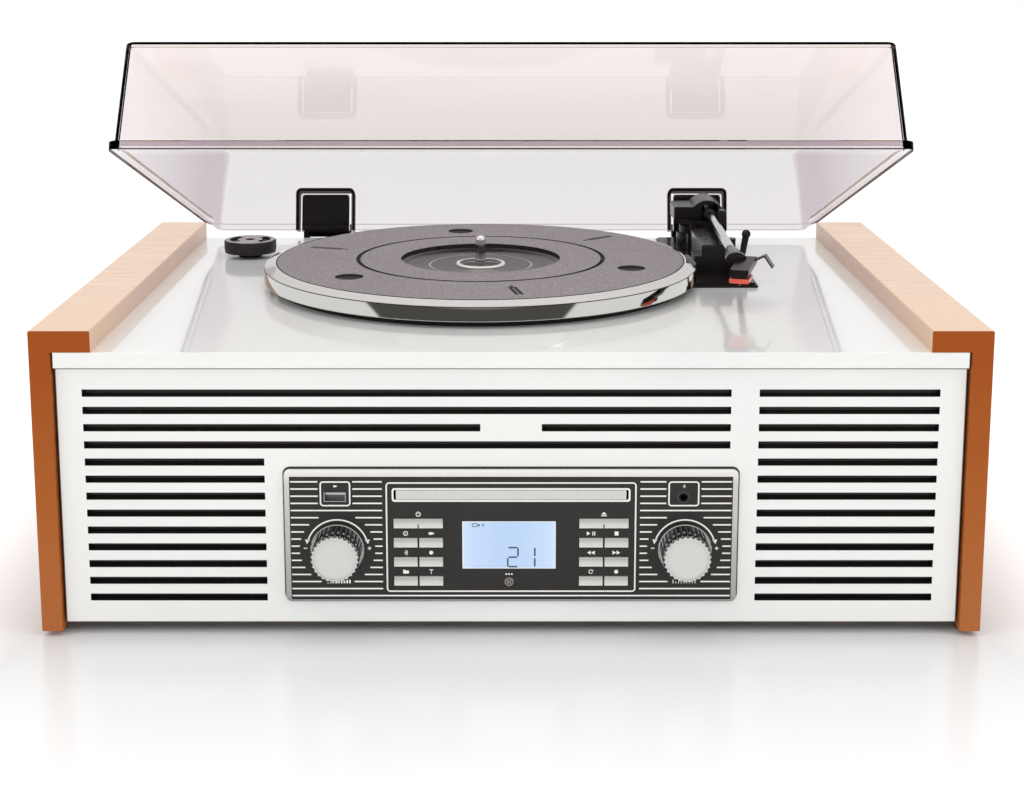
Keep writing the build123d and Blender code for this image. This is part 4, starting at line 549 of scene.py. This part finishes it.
def board_finish():
    """Circuit board: green mask with fine copper tracks."""
    f = Finish("solder_mask", 0.35, specular=0.5, coat=0.3)
    cells = f.nodes.new("ShaderNodeTexVoronoi")
    cells.inputs["Scale"].default_value = 220.0
    f.link(f.coord, cells.inputs["Vector"])
    f.base(f.ramp(cells.outputs["Distance"], (0.08, linear(148, 142, 96)), (0.14, linear(36, 86, 48)), (0.7, linear(28, 72, 40))))
    f.bump(cells.outputs["Distance"], 0.2, 0.0001)
    return f.mat


def make_materials():
    white = linear(240, 240, 236)
    return {
        "wood": wood_finish(),
        "white_lacquer": lacquer_finish(),
        "front_lacquer": panel_finish(),
        "dark_board": plain_finish("painted_board", linear(62, 54, 51), linear(74, 65, 61), 0.6, grain=600.0, bump=0.3),
        "rubber": plain_finish("soft_rubber", linear(34, 33, 33), linear(44, 42, 42), 0.75, grain=1500.0, bump=0.4),
        "screw_steel": plain_finish("zinc_plate", linear(176, 177, 180), linear(196, 196, 198), 0.3, 1.0),
        "black_cloth": cloth_finish(),
        "basket_steel": plain_finish("basket_paint", linear(48, 47, 47), linear(58, 56, 56), 0.45),
        "cone_paper": plain_finish("pressed_paper", linear(58, 56, 54), linear(76, 73, 70), 0.85, grain=500.0, bump=0.5),
        "silver_trim": trim_finish(),
        "black_fascia": plain_finish("fascia_black", linear(39, 37, 35), linear(41, 39, 37), 0.42, specular=0.3,
                                     grain=2400.0, bump=0.06, spread=0.02),
        "display_glass": display_finish(),
        "black_plastic": plain_finish("moulded_black", linear(20, 18, 18), linear(26, 23, 23), 0.42, specular=0.12,
                                      grain=1200.0, bump=0.12),
        "black_gloss": plain_finish("gloss_black", linear(20, 16, 17), linear(26, 21, 22), 0.24, specular=0.16, coat=0.02,
                                    bump=0.04, spread=0.04),
        "adapter_black": adapter_finish(),
        "button_silver": satin_finish("button_silver", linear(205, 204, 200), linear(211, 210, 206), key_rows()),
        "drawer_silver": satin_finish("drawer_silver", linear(206, 207, 204), linear(212, 212, 210)),
        "dark_lens": plain_finish("dark_lens", linear(62, 44, 46), linear(72, 52, 54), 0.08, specular=0.7, coat=0.5, bump=0.02),
        "circuit_board": board_finish(),
        "transformer_iron": plain_finish("varnished_iron", linear(96, 82, 74), linear(116, 102, 92), 0.45, 0.4),
        "smoked_lid": lid_finish(),
        "platter_metal": platter_finish(),
        "mat_rubber": mat_finish(),
        "spindle_chrome": plain_finish("polished_steel", linear(204, 203, 198), linear(222, 221, 216), 0.1, 1.0, bump=0.03),
        "brass_pulley": plain_finish("turned_brass", linear(196, 164, 92), linear(214, 182, 110), 0.25, 1.0),
        "arm_metal": arm_finish(),
        "red_plastic": plain_finish("red_carrier", linear(196, 62, 40), linear(222, 84, 58), 0.28, coat=0.3, bump=0.05),
        "weight_iron": plain_finish("weight_paint", linear(44, 42, 43), linear(54, 52, 52), 0.35, 0.3),
        "knob_silver": knob_finish(),
        "print_white": plain_finish("white_print", white, linear(248, 248, 244), 0.5, grain=1500.0, bump=0.1),
        "segment_dark": plain_finish("display_segment", linear(60, 68, 86), linear(70, 78, 96), 0.5),
        "gap_black": plain_finish("gap_black", linear(26, 24, 24), linear(32, 30, 30), 0.6),
        "joint_grey": plain_finish("joint_grey", linear(84, 80, 78), linear(96, 92, 90), 0.6),
        "lens_rim": plain_finish("lens_rim", linear(150, 148, 146), linear(170, 168, 166), 0.3, 0.6),
    }


def dress_nodes(materials):
    """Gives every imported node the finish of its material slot."""
    slots = {part["node"]: part["material_slot"] for part in frame["record"]["subparts"]}
    for name, node in frame["nodes"].items():
        if not node.material_slots:
            node.data.materials.append(None)
        slot = {"front_panel": "front_lacquer", "adapter_45": "adapter_black"}.get(name, slots[name])
        for place in node.material_slots:
            place.material = materials[slot]


# ================= mesh helpers =================

def piece(name, bm, material, body):
    """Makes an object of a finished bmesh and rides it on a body."""
    bmesh.ops.recalc_face_normals(bm, faces=bm.faces)
    mesh = bpy.data.meshes.new(name)
    bm.to_mesh(mesh)
    bm.free()
    obj = bpy.data.objects.new(name, mesh)
    bpy.context.scene.collection.objects.link(obj)
    mesh.materials.append(material)
    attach(obj, body)
    return obj


def prism(bm, outline, y0, y1):
    """Closed plate with this (x, z) outline between two depths; sizes in millimetres."""
    front = [bm.verts.new((x * MM, y0, z * MM)) for x, z in outline]
    rear = [bm.verts.new((x * MM, y1, z * MM)) for x, z in outline]
    bm.faces.new(front)
    bm.faces.new(list(reversed(rear)))
    count = len(outline)
    for i in range(count):
        j = (i + 1) % count
        bm.faces.new((front[j], front[i], rear[i], rear[j]))


def ring(bm, outer, inner, y0, y1):
    """Closed frame between two (x, z) outlines with as many points each."""
    loops = [[bm.verts.new((x * MM, y, z * MM)) for x, z in line]
             for line, y in ((outer, y0), (inner, y0), (inner, y1), (outer, y1))]
    count = len(outer)
    for a, b in ((0, 1), (1, 2), (2, 3), (3, 0)):
        for i in range(count):
            j = (i + 1) % count
            bm.faces.new((loops[a][i], loops[a][j], loops[b][j], loops[b][i]))


def bar(x0, x1, z, width):
    """Outline of a level stroke."""
    half = width / 2
    return [(x0, z - half), (x1, z - half), (x1, z + half), (x0, z + half)]


def rounded(x0, x1, z0, z1, r, steps=5):
    """Outline of a rectangle with rounded corners."""
    points = []
    for cx, cz, start in ((x1 - r, z1 - r, 0), (x0 + r, z1 - r, 90), (x0 + r, z0 + r, 180), (x1 - r, z0 + r, 270)):
        for n in range(steps + 1):
            a = radians(start + 90 * n / steps)
            points.append((cx + r * cos(a), cz + r * sin(a)))
    return points


def arc_band(cx, cz, r, width, start, end, steps=28):
    """Outline of a curved stroke between two angles."""
    angles = [radians(start + (end - start) * n / steps) for n in range(steps + 1)]
    outer = [(cx + (r + width / 2) * cos(a), cz + (r + width / 2) * sin(a)) for a in angles]
    inner = [(cx + (r - width / 2) * cos(a), cz + (r - width / 2) * sin(a)) for a in reversed(angles)]
    return outer + inner


# ================= print on the fascia =================
# Sizes in millimetres; z counts from the ground, as in the frame.

INK = 0.06 * MM             # thickness of the print
KNOB_X, KNOB_Z = 101.0, UNIT_Z / MM + 32.0
STRIPE_TOP = 94.0
STRIPE_PITCH = 4.334
STRIPE_COUNT = 17
STRIPE_W = 0.85
STRIPE_IN, STRIPE_OUT = 74.8, 127.8
KNOB_CLEAR = 22.0
LABEL_ROW = 14
LABEL_HALF = 8.7
FRAME_X, FRAME_LOW, FRAME_HIGH = 72.65, 26.95, 93.7
LINE_W = 0.85
SOCKET_BOXES = ((-110.8, -93.0), (91.0, 109.0))
BOX_LOW, BOX_HIGH = 79.2, 94.3
ARC_R = 17.9


def stripe_spans(side, n):
    """Left and right ends of one pin stripe, cut clear of knob, socket box and symbol."""
    z = STRIPE_TOP - n * STRIPE_PITCH
    ends = sorted((side * STRIPE_IN, side * STRIPE_OUT))
    gaps = []
    dz = abs(z - KNOB_Z)
    if dz < KNOB_CLEAR:
        half = sqrt(KNOB_CLEAR ** 2 - dz ** 2)
        gaps.append((side * KNOB_X - half, side * KNOB_X + half))
    if n == LABEL_ROW:
        gaps.append((side * KNOB_X - LABEL_HALF, side * KNOB_X + LABEL_HALF))
    if z > BOX_LOW - 1:
        x0, x1 = SOCKET_BOXES[0 if side < 0 else 1]
        gaps.append((x0 - 1.2, x1 + 1.2))
    spans = [tuple(ends)]
    for g0, g1 in gaps:
        spans = [s for x0, x1 in spans for s in ((x0, min(x1, g0)), (max(x0, g1), x1)) if s[1] - s[0] > 0.4]
    return z, spans


def symbol(bm, kind, x, z, y0, y1, s=1.0):
    """Small generic mark drawn round x, z: s is its half height."""
    def flat(points):
        prism(bm, [(x + px * s, z + pz * s) for px, pz in points], y0, y1)

    def play(dx=0.0, turn=1):
        flat([(dx - 0.7 * turn, -0.9), (dx + 0.8 * turn, 0.0), (dx - 0.7 * turn, 0.9)])

    def box(x0, x1, z0=-0.85, z1=0.85):
        flat([(x0, z0), (x1, z0), (x1, z1), (x0, z1)])

    if kind == "power":
        prism(bm, arc_band(x, z, 0.9 * s, 0.36 * s, 120, 420, 14), y0, y1)
        box(-0.18, 0.18, 0.2, 1.25)
    elif kind == "eject":
        flat([(-1.1, -0.1), (1.1, -0.1), (0.0, 1.0)])
        box(-1.1, 1.1, -0.85, -0.45)
    elif kind == "play":
        play(-1.1)
        box(0.5, 0.9)
        box(1.3, 1.7)
    elif kind == "stop":
        box(-0.8, 0.8)
    elif kind == "back":
        play(-0.8, -1)
        play(0.9, -1)
    elif kind == "forward":
        play(-0.9)
        play(0.8)
    elif kind == "disc":
        prism(bm, arc_band(x, z, 0.85 * s, 0.34 * s, 0, 352, 18), y0, y1)
        box(-0.2, 0.2, -0.2, 0.2)
    elif kind == "plug":
        box(-1.0, 0.5, -0.55, 0.55)
        box(0.5, 1.2, -0.35, 0.35)
    elif kind == "waves":
        for k in (0.5, 1.0, 1.5):
            prism(bm, arc_band(x - 0.8 * s, z, k * s, 0.24 * s, -48, 48, 8), y0, y1)
    elif kind == "record":
        prism(bm, [(x + 0.85 * s * cos(2 * pi * k / 16), z + 0.85 * s * sin(2 * pi * k / 16)) for k in range(16)], y0, y1)
    elif kind == "folder":
        flat([(-1.2, -0.8), (1.2, -0.8), (1.2, 0.5), (0.0, 0.5), (-0.3, 0.85), (-1.2, 0.85)])
    elif kind == "mast":
        box(-0.15, 0.15, -0.9, 0.7)
        flat([(-0.9, 1.0), (0.9, 1.0), (0.0, 0.1)])
    elif kind == "loop":
        prism(bm, arc_band(x, z, 0.8 * s, 0.3 * s, 40, 330, 14), y0, y1)
        flat([(0.35, 0.1), (1.15, 0.1), (0.75, 0.8)])
    elif kind == "minus":
        box(-0.7, 0.7, -0.2, 0.2)
    elif kind == "plus":
        box(-0.7, 0.7, -0.2, 0.2)
        box(-0.2, 0.2, 0.2, 0.7)
        box(-0.2, 0.2, -0.7, -0.2)


BUTTON_MARKS = {
    "power_button": "power", "cd_button": "disc", "usb_button": "plug", "wireless_button": "waves",
    "phono_button": "record", "folder_button": "folder", "radio_button": "mast", "open_button": "eject",
    "play_button": "play", "stop_button": "stop", "back_button": "back", "forward_button": "forward",
    "mode_button": "loop", "record_button": "record",
}


def fascia_print(materials):
    bm = bmesh.new()
    y0, y1 = FASCIA_Y - INK, FASCIA_Y
    for side in (-1, 1):
        for n in range(STRIPE_COUNT - 1):
            z, spans = stripe_spans(side, n)
            for x0, x1 in spans:
                prism(bm, bar(x0, x1, z, STRIPE_W), y0, y1)
        x0, x1 = SOCKET_BOXES[0 if side < 0 else 1]
        ring(bm, rounded(x0, x1, BOX_LOW, BOX_HIGH, 2.0), rounded(x0 + LINE_W, x1 - LINE_W, BOX_LOW + LINE_W,
                                                                   BOX_HIGH - LINE_W, 1.1), y0, y1)
        x = side * KNOB_X
        prism(bm, arc_band(x, KNOB_Z, ARC_R, 0.9, 18, 162), y0, y1)
        for turn in (-1, 1):
            a = radians(90 - turn * 76)
            tip = (x + ARC_R * cos(a), KNOB_Z + ARC_R * sin(a))
            prism(bm, [(tip[0] - 1.5, tip[1] + 1.6), (tip[0] + 1.5, tip[1] + 1.6), (tip[0] + turn * 0.4, tip[1] - 1.2)],
                  y0, y1)
        symbol(bm, "minus", x - 18.6, KNOB_Z + 0.6, y0, y1, 1.5)
        symbol(bm, "plus", x + 18.6, KNOB_Z + 0.6, y0, y1, 1.5)
    z = STRIPE_TOP - (STRIPE_COUNT - 1) * STRIPE_PITCH
    prism(bm, bar(-STRIPE_OUT, STRIPE_OUT, z, STRIPE_W), y0, y1)
    ring(bm, rounded(-FRAME_X, FRAME_X, FRAME_LOW, FRAME_HIGH, 2.2),
         rounded(-FRAME_X + LINE_W, FRAME_X - LINE_W, FRAME_LOW + LINE_W, FRAME_HIGH - LINE_W, 1.2), y0, y1)
    low = STRIPE_TOP - LABEL_ROW * STRIPE_PITCH
    for k in range(9):
        h = 0.3 + 0.24 * k
        prism(bm, [(-KNOB_X - 6.4 + 1.6 * k, low - 1.1), (-KNOB_X - 5.5 + 1.6 * k, low - 1.1),
                   (-KNOB_X - 5.5 + 1.6 * k, low - 1.1 + h), (-KNOB_X - 6.4 + 1.6 * k, low - 1.1 + h)], y0, y1)
        tall = 2.3 if k % 4 == 0 else 1.3
        prism(bm, [(KNOB_X - 6.6 + 1.6 * k, low - 1.1), (KNOB_X - 6.2 + 1.6 * k, low - 1.1),
                   (KNOB_X - 6.2 + 1.6 * k, low - 1.1 + tall), (KNOB_X - 6.6 + 1.6 * k, low - 1.1 + tall)], y0, y1)
    for name, kind in BUTTON_MARKS.items():
        lo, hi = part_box(name)
        symbol(bm, kind, (lo.x + hi.x) / 2 / MM, (lo.z + hi.z) / 2 / MM + 5.5, y0, y1, 1.4)
    lens_lo, lens_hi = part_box("sensor_lens")
    for k in (-1, 0, 1):
        x = (lens_lo.x + lens_hi.x) / 2 / MM + 1.6 * k
        prism(bm, bar(x - 0.5, x + 0.5, lens_hi.z / MM + 1.7, 0.8), y0, y1)
    symbol(bm, "plug", -101.9, 91.3, y0, y1, 0.95)
    symbol(bm, "waves", 100.0, 91.3, y0, y1, 0.95)
    return piece("fascia_print", bm, materials["print_white"], "cabinet")


def bezel_gap(materials):
    """Dark joint round the bezel, wider above and at its sides as a painted shadow of the proud bezel; dark joints
    round the panel; and the socket's ring.
    """
    bm = bmesh.new()
    x1, z0, z1 = bezel_hi.x / MM, bezel_lo.z / MM, bezel_hi.z / MM
    # the bezel's joint is 0.9 mm wide above and at the sides and 0.4 mm below: painted shadow of the proud bezel
    ring(bm, rounded(-x1 - 0.9, x1 + 0.9, z0 - 0.4, z1 + 0.9, 4.4), rounded(-x1, x1, z0, z1, 3.5),
         PANEL_Y - 0.12 * MM, PANEL_Y)
    piece("bezel_gap", bm, materials["gap_black"], "cabinet")
    panel_lo, panel_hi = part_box("front_panel")
    half, top = panel_hi.x / MM, panel_hi.z / MM
    bm = bmesh.new()
    prism(bm, [(-half, top - 0.35), (half, top - 0.35), (half, top + 0.1), (-half, top + 0.1)],
          PANEL_Y - 0.05 * MM, PANEL_Y + 0.4 * MM)
    for side in (-1, 1):
        prism(bm, [(side * (half - 0.45), panel_lo.z / MM), (side * half, panel_lo.z / MM), (side * half, top - 0.4),
                   (side * (half - 0.45), top - 0.4)], PANEL_Y - 0.05 * MM, PANEL_Y + 0.4 * MM)
    piece("panel_joint", bm, materials["joint_grey"], "cabinet")
    lo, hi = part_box("aux_jack")
    bm = bmesh.new()
    prism(bm, arc_band((lo.x + hi.x) / 2 / MM, (lo.z + hi.z) / 2 / MM, 3.0, 0.5, 0, 358, 36),
          FASCIA_Y - 0.1 * MM, FASCIA_Y)
    piece("jack_ring", bm, materials["joint_grey"], "cabinet")


def lens_details(materials):
    """Rim of the sensor's lens, with two crossed strokes over it that are a painted highlight."""
    bm = bmesh.new()
    lo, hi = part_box("sensor_lens")
    x, z = (lo.x + hi.x) / 2 / MM, (lo.z + hi.z) / 2 / MM
    y0, y1 = lo.y - 0.12 * MM, lo.y + 0.1 * MM
    prism(bm, arc_band(x, z, 2.3, 0.45, 0, 358, 30), y0, y1)
    # two crossed strokes: a painted highlight on the lens
    for turn in (40, 140):
        a = radians(turn)
        ax, az = cos(a), sin(a)
        prism(bm, [(x - 1.7 * ax - 0.2 * az, z - 1.7 * az + 0.2 * ax), (x - 1.7 * ax + 0.2 * az, z - 1.7 * az - 0.2 * ax),
                   (x + 1.7 * ax + 0.2 * az, z + 1.7 * az - 0.2 * ax),
                   (x + 1.7 * ax - 0.2 * az, z + 1.7 * az + 0.2 * ax)], y0, y1)
    return piece("lens_ribs", bm, materials["lens_rim"], "cabinet")


def key_notches(materials):
    """Small dark notch in the middle of each wide key."""
    for name in ("power_button", "open_button"):
        lo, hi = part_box(name)
        bm = bmesh.new()
        x, z = (lo.x + hi.x) / 2 / MM, (lo.z + hi.z) / 2 / MM
        prism(bm, [(x - 0.35, z - 2.6), (x + 0.35, z - 2.6), (x + 0.35, z - 0.2), (x - 0.35, z - 0.2)],
              lo.y - 0.05 * MM, lo.y + 0.05 * MM)
        piece(name + "_notch", bm, materials["gap_black"], name)


def adapter_skirt(materials):
    """Lower part of the adapter's edge."""
    lo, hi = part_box("adapter_45")
    post_lo, post_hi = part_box("adapter_post")
    x, y = (lo.x + hi.x) / 2, (lo.y + hi.y) / 2
    r = (hi.x - lo.x) / 2
    levels = ((r - 4.0 * MM, lo.z), (r - 0.05 * MM, lo.z), (r - 0.4 * MM, post_lo.z + 3.4 * MM),
              (r - 4.0 * MM, post_lo.z + 3.4 * MM))
    bm = bmesh.new()
    steps = 64
    loops = []
    for radius, z in levels:
        loops.append([bm.verts.new((x + radius * cos(2 * pi * k / steps), y + radius * sin(2 * pi * k / steps), z))
                      for k in range(steps)])
    for i in range(4):
        a, b = loops[i], loops[(i + 1) % 4]
        for k in range(steps):
            bm.faces.new((a[k], a[(k + 1) % steps], b[(k + 1) % steps], b[k]))
    return piece("adapter_skirt", bm, materials["adapter_black"], "adapter")


def slot_trim(materials):
    """Raised white line round the drawer's opening."""
    bm = bmesh.new()
    lo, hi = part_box("cd_tray")
    z = UNIT_Z / MM + 65.0
    x1, z1 = 69.1, 4.1
    ring(bm, rounded(-x1, x1, z - z1, z + z1, 1.6), rounded(-x1 + 1.0, x1 - 1.0, z - z1 + 1.0, z + z1 - 1.0, 0.9),
         FASCIA_Y - 0.25 * MM, FASCIA_Y + 1.6 * MM)
    return piece("drawer_trim", bm, materials["print_white"], "cabinet")


def drawer_cover(materials):
    """Silver cover on the drawer's front."""
    bm = bmesh.new()
    lo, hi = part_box("cd_tray")
    z = UNIT_Z / MM + 65.0
    prism(bm, rounded(lo.x / MM, hi.x / MM, z - 2.75, z + 2.75, 0.5), FASCIA_Y - 0.3 * MM, FASCIA_Y - 0.01 * MM)
    return piece("drawer_cover", bm, materials["drawer_silver"], "cd_drawer")


SEGMENTS = {"2": "abged", "1": "bc"}
DIGIT_W, DIGIT_H, SEGMENT_W = 6.9, 12.6, 0.95


def segment_outline(which, x, z):
    """Outline of one display segment; x, z is the digit's lower left corner."""
    w, h, t, gap = DIGIT_W, DIGIT_H, SEGMENT_W, 0.35
    half = h / 2
    if which in "agd":
        level = {"d": z, "g": z + half - t / 2, "a": z + h - t}[which]
        return [(x + t * 0.6 + gap, level), (x + w - t * 0.6 - gap, level), (x + w - t * 0.6 - gap, level + t),
                (x + t * 0.6 + gap, level + t)]
    left = {"b": w - t, "c": w - t, "e": 0.0, "f": 0.0}[which]
    low = half if which in "bf" else 0.0
    return [(x + left, z + low + gap + t * 0.3), (x + left + t, z + low + gap + t * 0.3),
            (x + left + t, z + low + half - gap - t * 0.3), (x + left, z + low + half - gap - t * 0.3)]


def display_print(materials):
    bm = bmesh.new()
    y1 = FASCIA_Y + 0.2 * MM
    y0 = y1 - 0.05 * MM
    for digit, x in (("2", -2.4), ("1", 7.4)):
        for which in SEGMENTS[digit]:
            prism(bm, segment_outline(which, x, 41.9), y0, y1)
    ring(bm, rounded(-22.8, -19.6, 66.6, 68.8, 0.6), rounded(-22.4, -20.0, 67.0, 68.4, 0.35), y0, y1)
    symbol(bm, "play", -17.4, 67.7, y0, y1, 1.0)
    piece("display_segments", bm, materials["segment_dark"], "cabinet")
    lo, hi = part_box("display")
    bm = bmesh.new()
    x0, x1 = -28.3, 25.9
    z0, z1 = UNIT_Z / MM + 34.55 - 14.35, UNIT_Z / MM + 34.55 + 14.35
    ring(bm, rounded(x0, x1, z0, z1, 0.5), rounded(x0 + 0.45, x1 - 0.45, z0 + 0.45, z1 - 0.45, 0.2), y0, y1)
    piece("display_edge", bm, materials["print_white"], "cabinet")


# ================= stage, light and camera =================

def soft_white(node_tree, surface_out, lit, strength=1.0):
    """Mask that is 1 for camera, glossy and transmission rays."""
    nodes, links = node_tree.nodes, node_tree.links
    path = nodes.new("ShaderNodeLightPath")
    seen = path.outputs["Is Camera Ray"]
    for name in ("Is Glossy Ray", "Is Transmission Ray"):
        both = nodes.new("ShaderNodeMath")
        both.operation = "MAXIMUM"
        links.new(seen, both.inputs[0])
        links.new(path.outputs[name], both.inputs[1])
        seen = both.outputs[0]
    return seen


def make_world():
    world = bpy.data.worlds.new("studio")
    bpy.context.scene.world = world
    world.use_nodes = True
    nodes, links = world.node_tree.nodes, world.node_tree.links
    nodes.clear()
    out = nodes.new("ShaderNodeOutputWorld")
    light = nodes.new("ShaderNodeBackground")
    light.inputs["Color"].default_value = (1.0, 0.99, 0.98, 1.0)
    light.inputs["Strength"].default_value = 0.52
    white = nodes.new("ShaderNodeBackground")
    white.inputs["Strength"].default_value = 1.0
    white.inputs["Color"].default_value = (1.0, 1.0, 1.0, 1.0)
    # a darker room in front of the set, seen only in polished surfaces
    coord = nodes.new("ShaderNodeTexCoord")
    axes = nodes.new("ShaderNodeSeparateXYZ")
    links.new(coord.outputs["Generated"], axes.inputs[0])

    def value(op, a, b):
        node = nodes.new("ShaderNodeMath")
        node.operation = op
        for socket, given in zip(node.inputs, (a, b)):
            if hasattr(given, "is_output"):
                links.new(given, socket)
            else:
                socket.default_value = given
        return node.outputs[0]

    def fade(source, low, high):
        node = nodes.new("ShaderNodeMapRange")
        for key, given in (("From Min", low), ("From Max", high), ("To Min", 0.0), ("To Max", 1.0)):
            node.inputs[key].default_value = given
        links.new(source, node.inputs["Value"])
        return node.outputs[0]

    width = value("ADD", 0.54, value("MULTIPLY", axes.outputs["Z"], 0.4))
    aside = value("SUBTRACT", value("ABSOLUTE", value("ADD", axes.outputs["X"], 0.05), 0.0), width)
    level = value("MULTIPLY", fade(axes.outputs["Z"], 0.2, 0.28), fade(axes.outputs["Z"], 0.66, 0.58))
    room = value("MULTIPLY", value("MULTIPLY", fade(aside, 0.012, -0.012), fade(axes.outputs["Y"], -0.30, -0.36)), level)
    dark = nodes.new("ShaderNodeBackground")
    dark.inputs["Color"].default_value = (0.10, 0.095, 0.09, 1.0)
    reflected = nodes.new("ShaderNodeMixShader")
    links.new(room, reflected.inputs[0])
    links.new(white.outputs[0], reflected.inputs[1])
    links.new(dark.outputs[0], reflected.inputs[2])
    path = nodes.new("ShaderNodeLightPath")
    glossy = nodes.new("ShaderNodeMixShader")
    links.new(path.outputs["Is Glossy Ray"], glossy.inputs[0])
    links.new(light.outputs[0], glossy.inputs[1])
    links.new(reflected.outputs[0], glossy.inputs[2])
    clear = nodes.new("ShaderNodeMath")
    clear.operation = "MAXIMUM"
    links.new(path.outputs["Is Camera Ray"], clear.inputs[0])
    links.new(path.outputs["Is Transmission Ray"], clear.inputs[1])
    final = nodes.new("ShaderNodeMixShader")
    links.new(clear.outputs[0], final.inputs[0])
    links.new(glossy.outputs[0], final.inputs[1])
    links.new(white.outputs[0], final.inputs[2])
    links.new(final.outputs[0], out.inputs["Surface"])


def make_floor():
    """Plain pale floor that keeps the object's shadow and a soft reflection of it."""
    bm = bmesh.new()
    half = 6.0
    for x, y in ((-half, -half), (half, -half), (half, half), (-half, half)):
        bm.verts.new((x, y, -0.0002))
    bm.faces.new(bm.verts)
    mesh = bpy.data.meshes.new("floor")
    bm.to_mesh(mesh)
    bm.free()
    floor = bpy.data.objects.new("floor", mesh)
    bpy.context.scene.collection.objects.link(floor)
    f = Finish("pale_floor", 0.22)
    f.shader.inputs["IOR"].default_value = 1.5
    f.base(f.ramp(f.noise(3.0, 2.0), (0.3, linear(237, 237, 237)), (0.7, linear(240, 240, 240))))
    out = f.axes()
    aside = f.span(f.math("ABSOLUTE", out["X"]), 0.278, 0.36, 0.0, 0.4)
    ahead = f.span(f.math("ABSOLUTE", out["Y"]), 0.19, 0.55, 0.0, 0.4)
    open_floor = f.math("MAXIMUM", aside, ahead)
    path = f.nodes.new("ShaderNodeLightPath")
    seen = f.math("MAXIMUM", f.math("MAXIMUM", path.outputs["Is Camera Ray"], path.outputs["Is Glossy Ray"]),
                  path.outputs["Is Transmission Ray"])
    f.shader.inputs["Emission Color"].default_value = (1.0, 1.0, 1.0, 1.0)
    f.link(f.math("MULTIPLY", seen, open_floor), f.shader.inputs["Emission Strength"])
    mesh.materials.append(f.mat)


def area_light(name, place, target, size, power, colour=(1.0, 1.0, 1.0)):
    data = bpy.data.lights.new(name, "AREA")
    data.shape = "RECTANGLE"
    data.size, data.size_y = size
    data.energy = power
    data.color = colour
    lamp = bpy.data.objects.new(name, data)
    bpy.context.scene.collection.objects.link(lamp)
    lamp.location = place
    lamp.rotation_mode = "QUATERNION"
    lamp.rotation_quaternion = (Vector(target) - Vector(place)).to_track_quat("-Z", "Y")
    lamp.visible_glossy = False


def make_lights():
    area_light("overhead", (0.0, -0.15, 1.5), (0.0, 0.0, 0.15), (1.6, 1.2), 8.3)
    area_light("front_soft", (0.0, -1.75, 0.35), (0.0, 0.0, 0.1), (1.8, 0.7), 7.0)
    area_light("left_soft", (-1.5, -0.9, 0.9), (0.0, 0.0, 0.15), (1.0, 1.2), 6.0)
    area_light("right_soft", (1.5, -0.9, 0.9), (0.0, 0.0, 0.15), (1.0, 1.2), 6.5)


# camera matched to the photo's lines by least squares, with a small rise
CAMERA = (0.00053, -1.1323, 0.40357)
PITCH = 10.126
LENS = 59.894
SHIFT = -0.15


def make_camera():
    data = bpy.data.cameras.new("camera")
    data.sensor_width = 36.0
    data.lens = LENS
    data.shift_y = SHIFT
    data.clip_start = 0.05
    data.clip_end = 50.0
    camera = bpy.data.objects.new("camera", data)
    bpy.context.scene.collection.objects.link(camera)
    camera.location = CAMERA
    camera.rotation_euler = (radians(90 - PITCH), 0.0, 0.0)
    bpy.context.scene.camera = camera


def make_all():
    materials = make_materials()
    dress_nodes(materials)
    fascia_print(materials)
    slot_trim(materials)
    bezel_gap(materials)
    lens_details(materials)
    key_notches(materials)
    adapter_skirt(materials)
    drawer_cover(materials)
    display_print(materials)
    make_floor()
    make_world()
    make_lights()
    make_camera()
    bpy.context.scene.view_settings.view_transform = "Standard"


make_all()
bpy.context.view_layer.update()
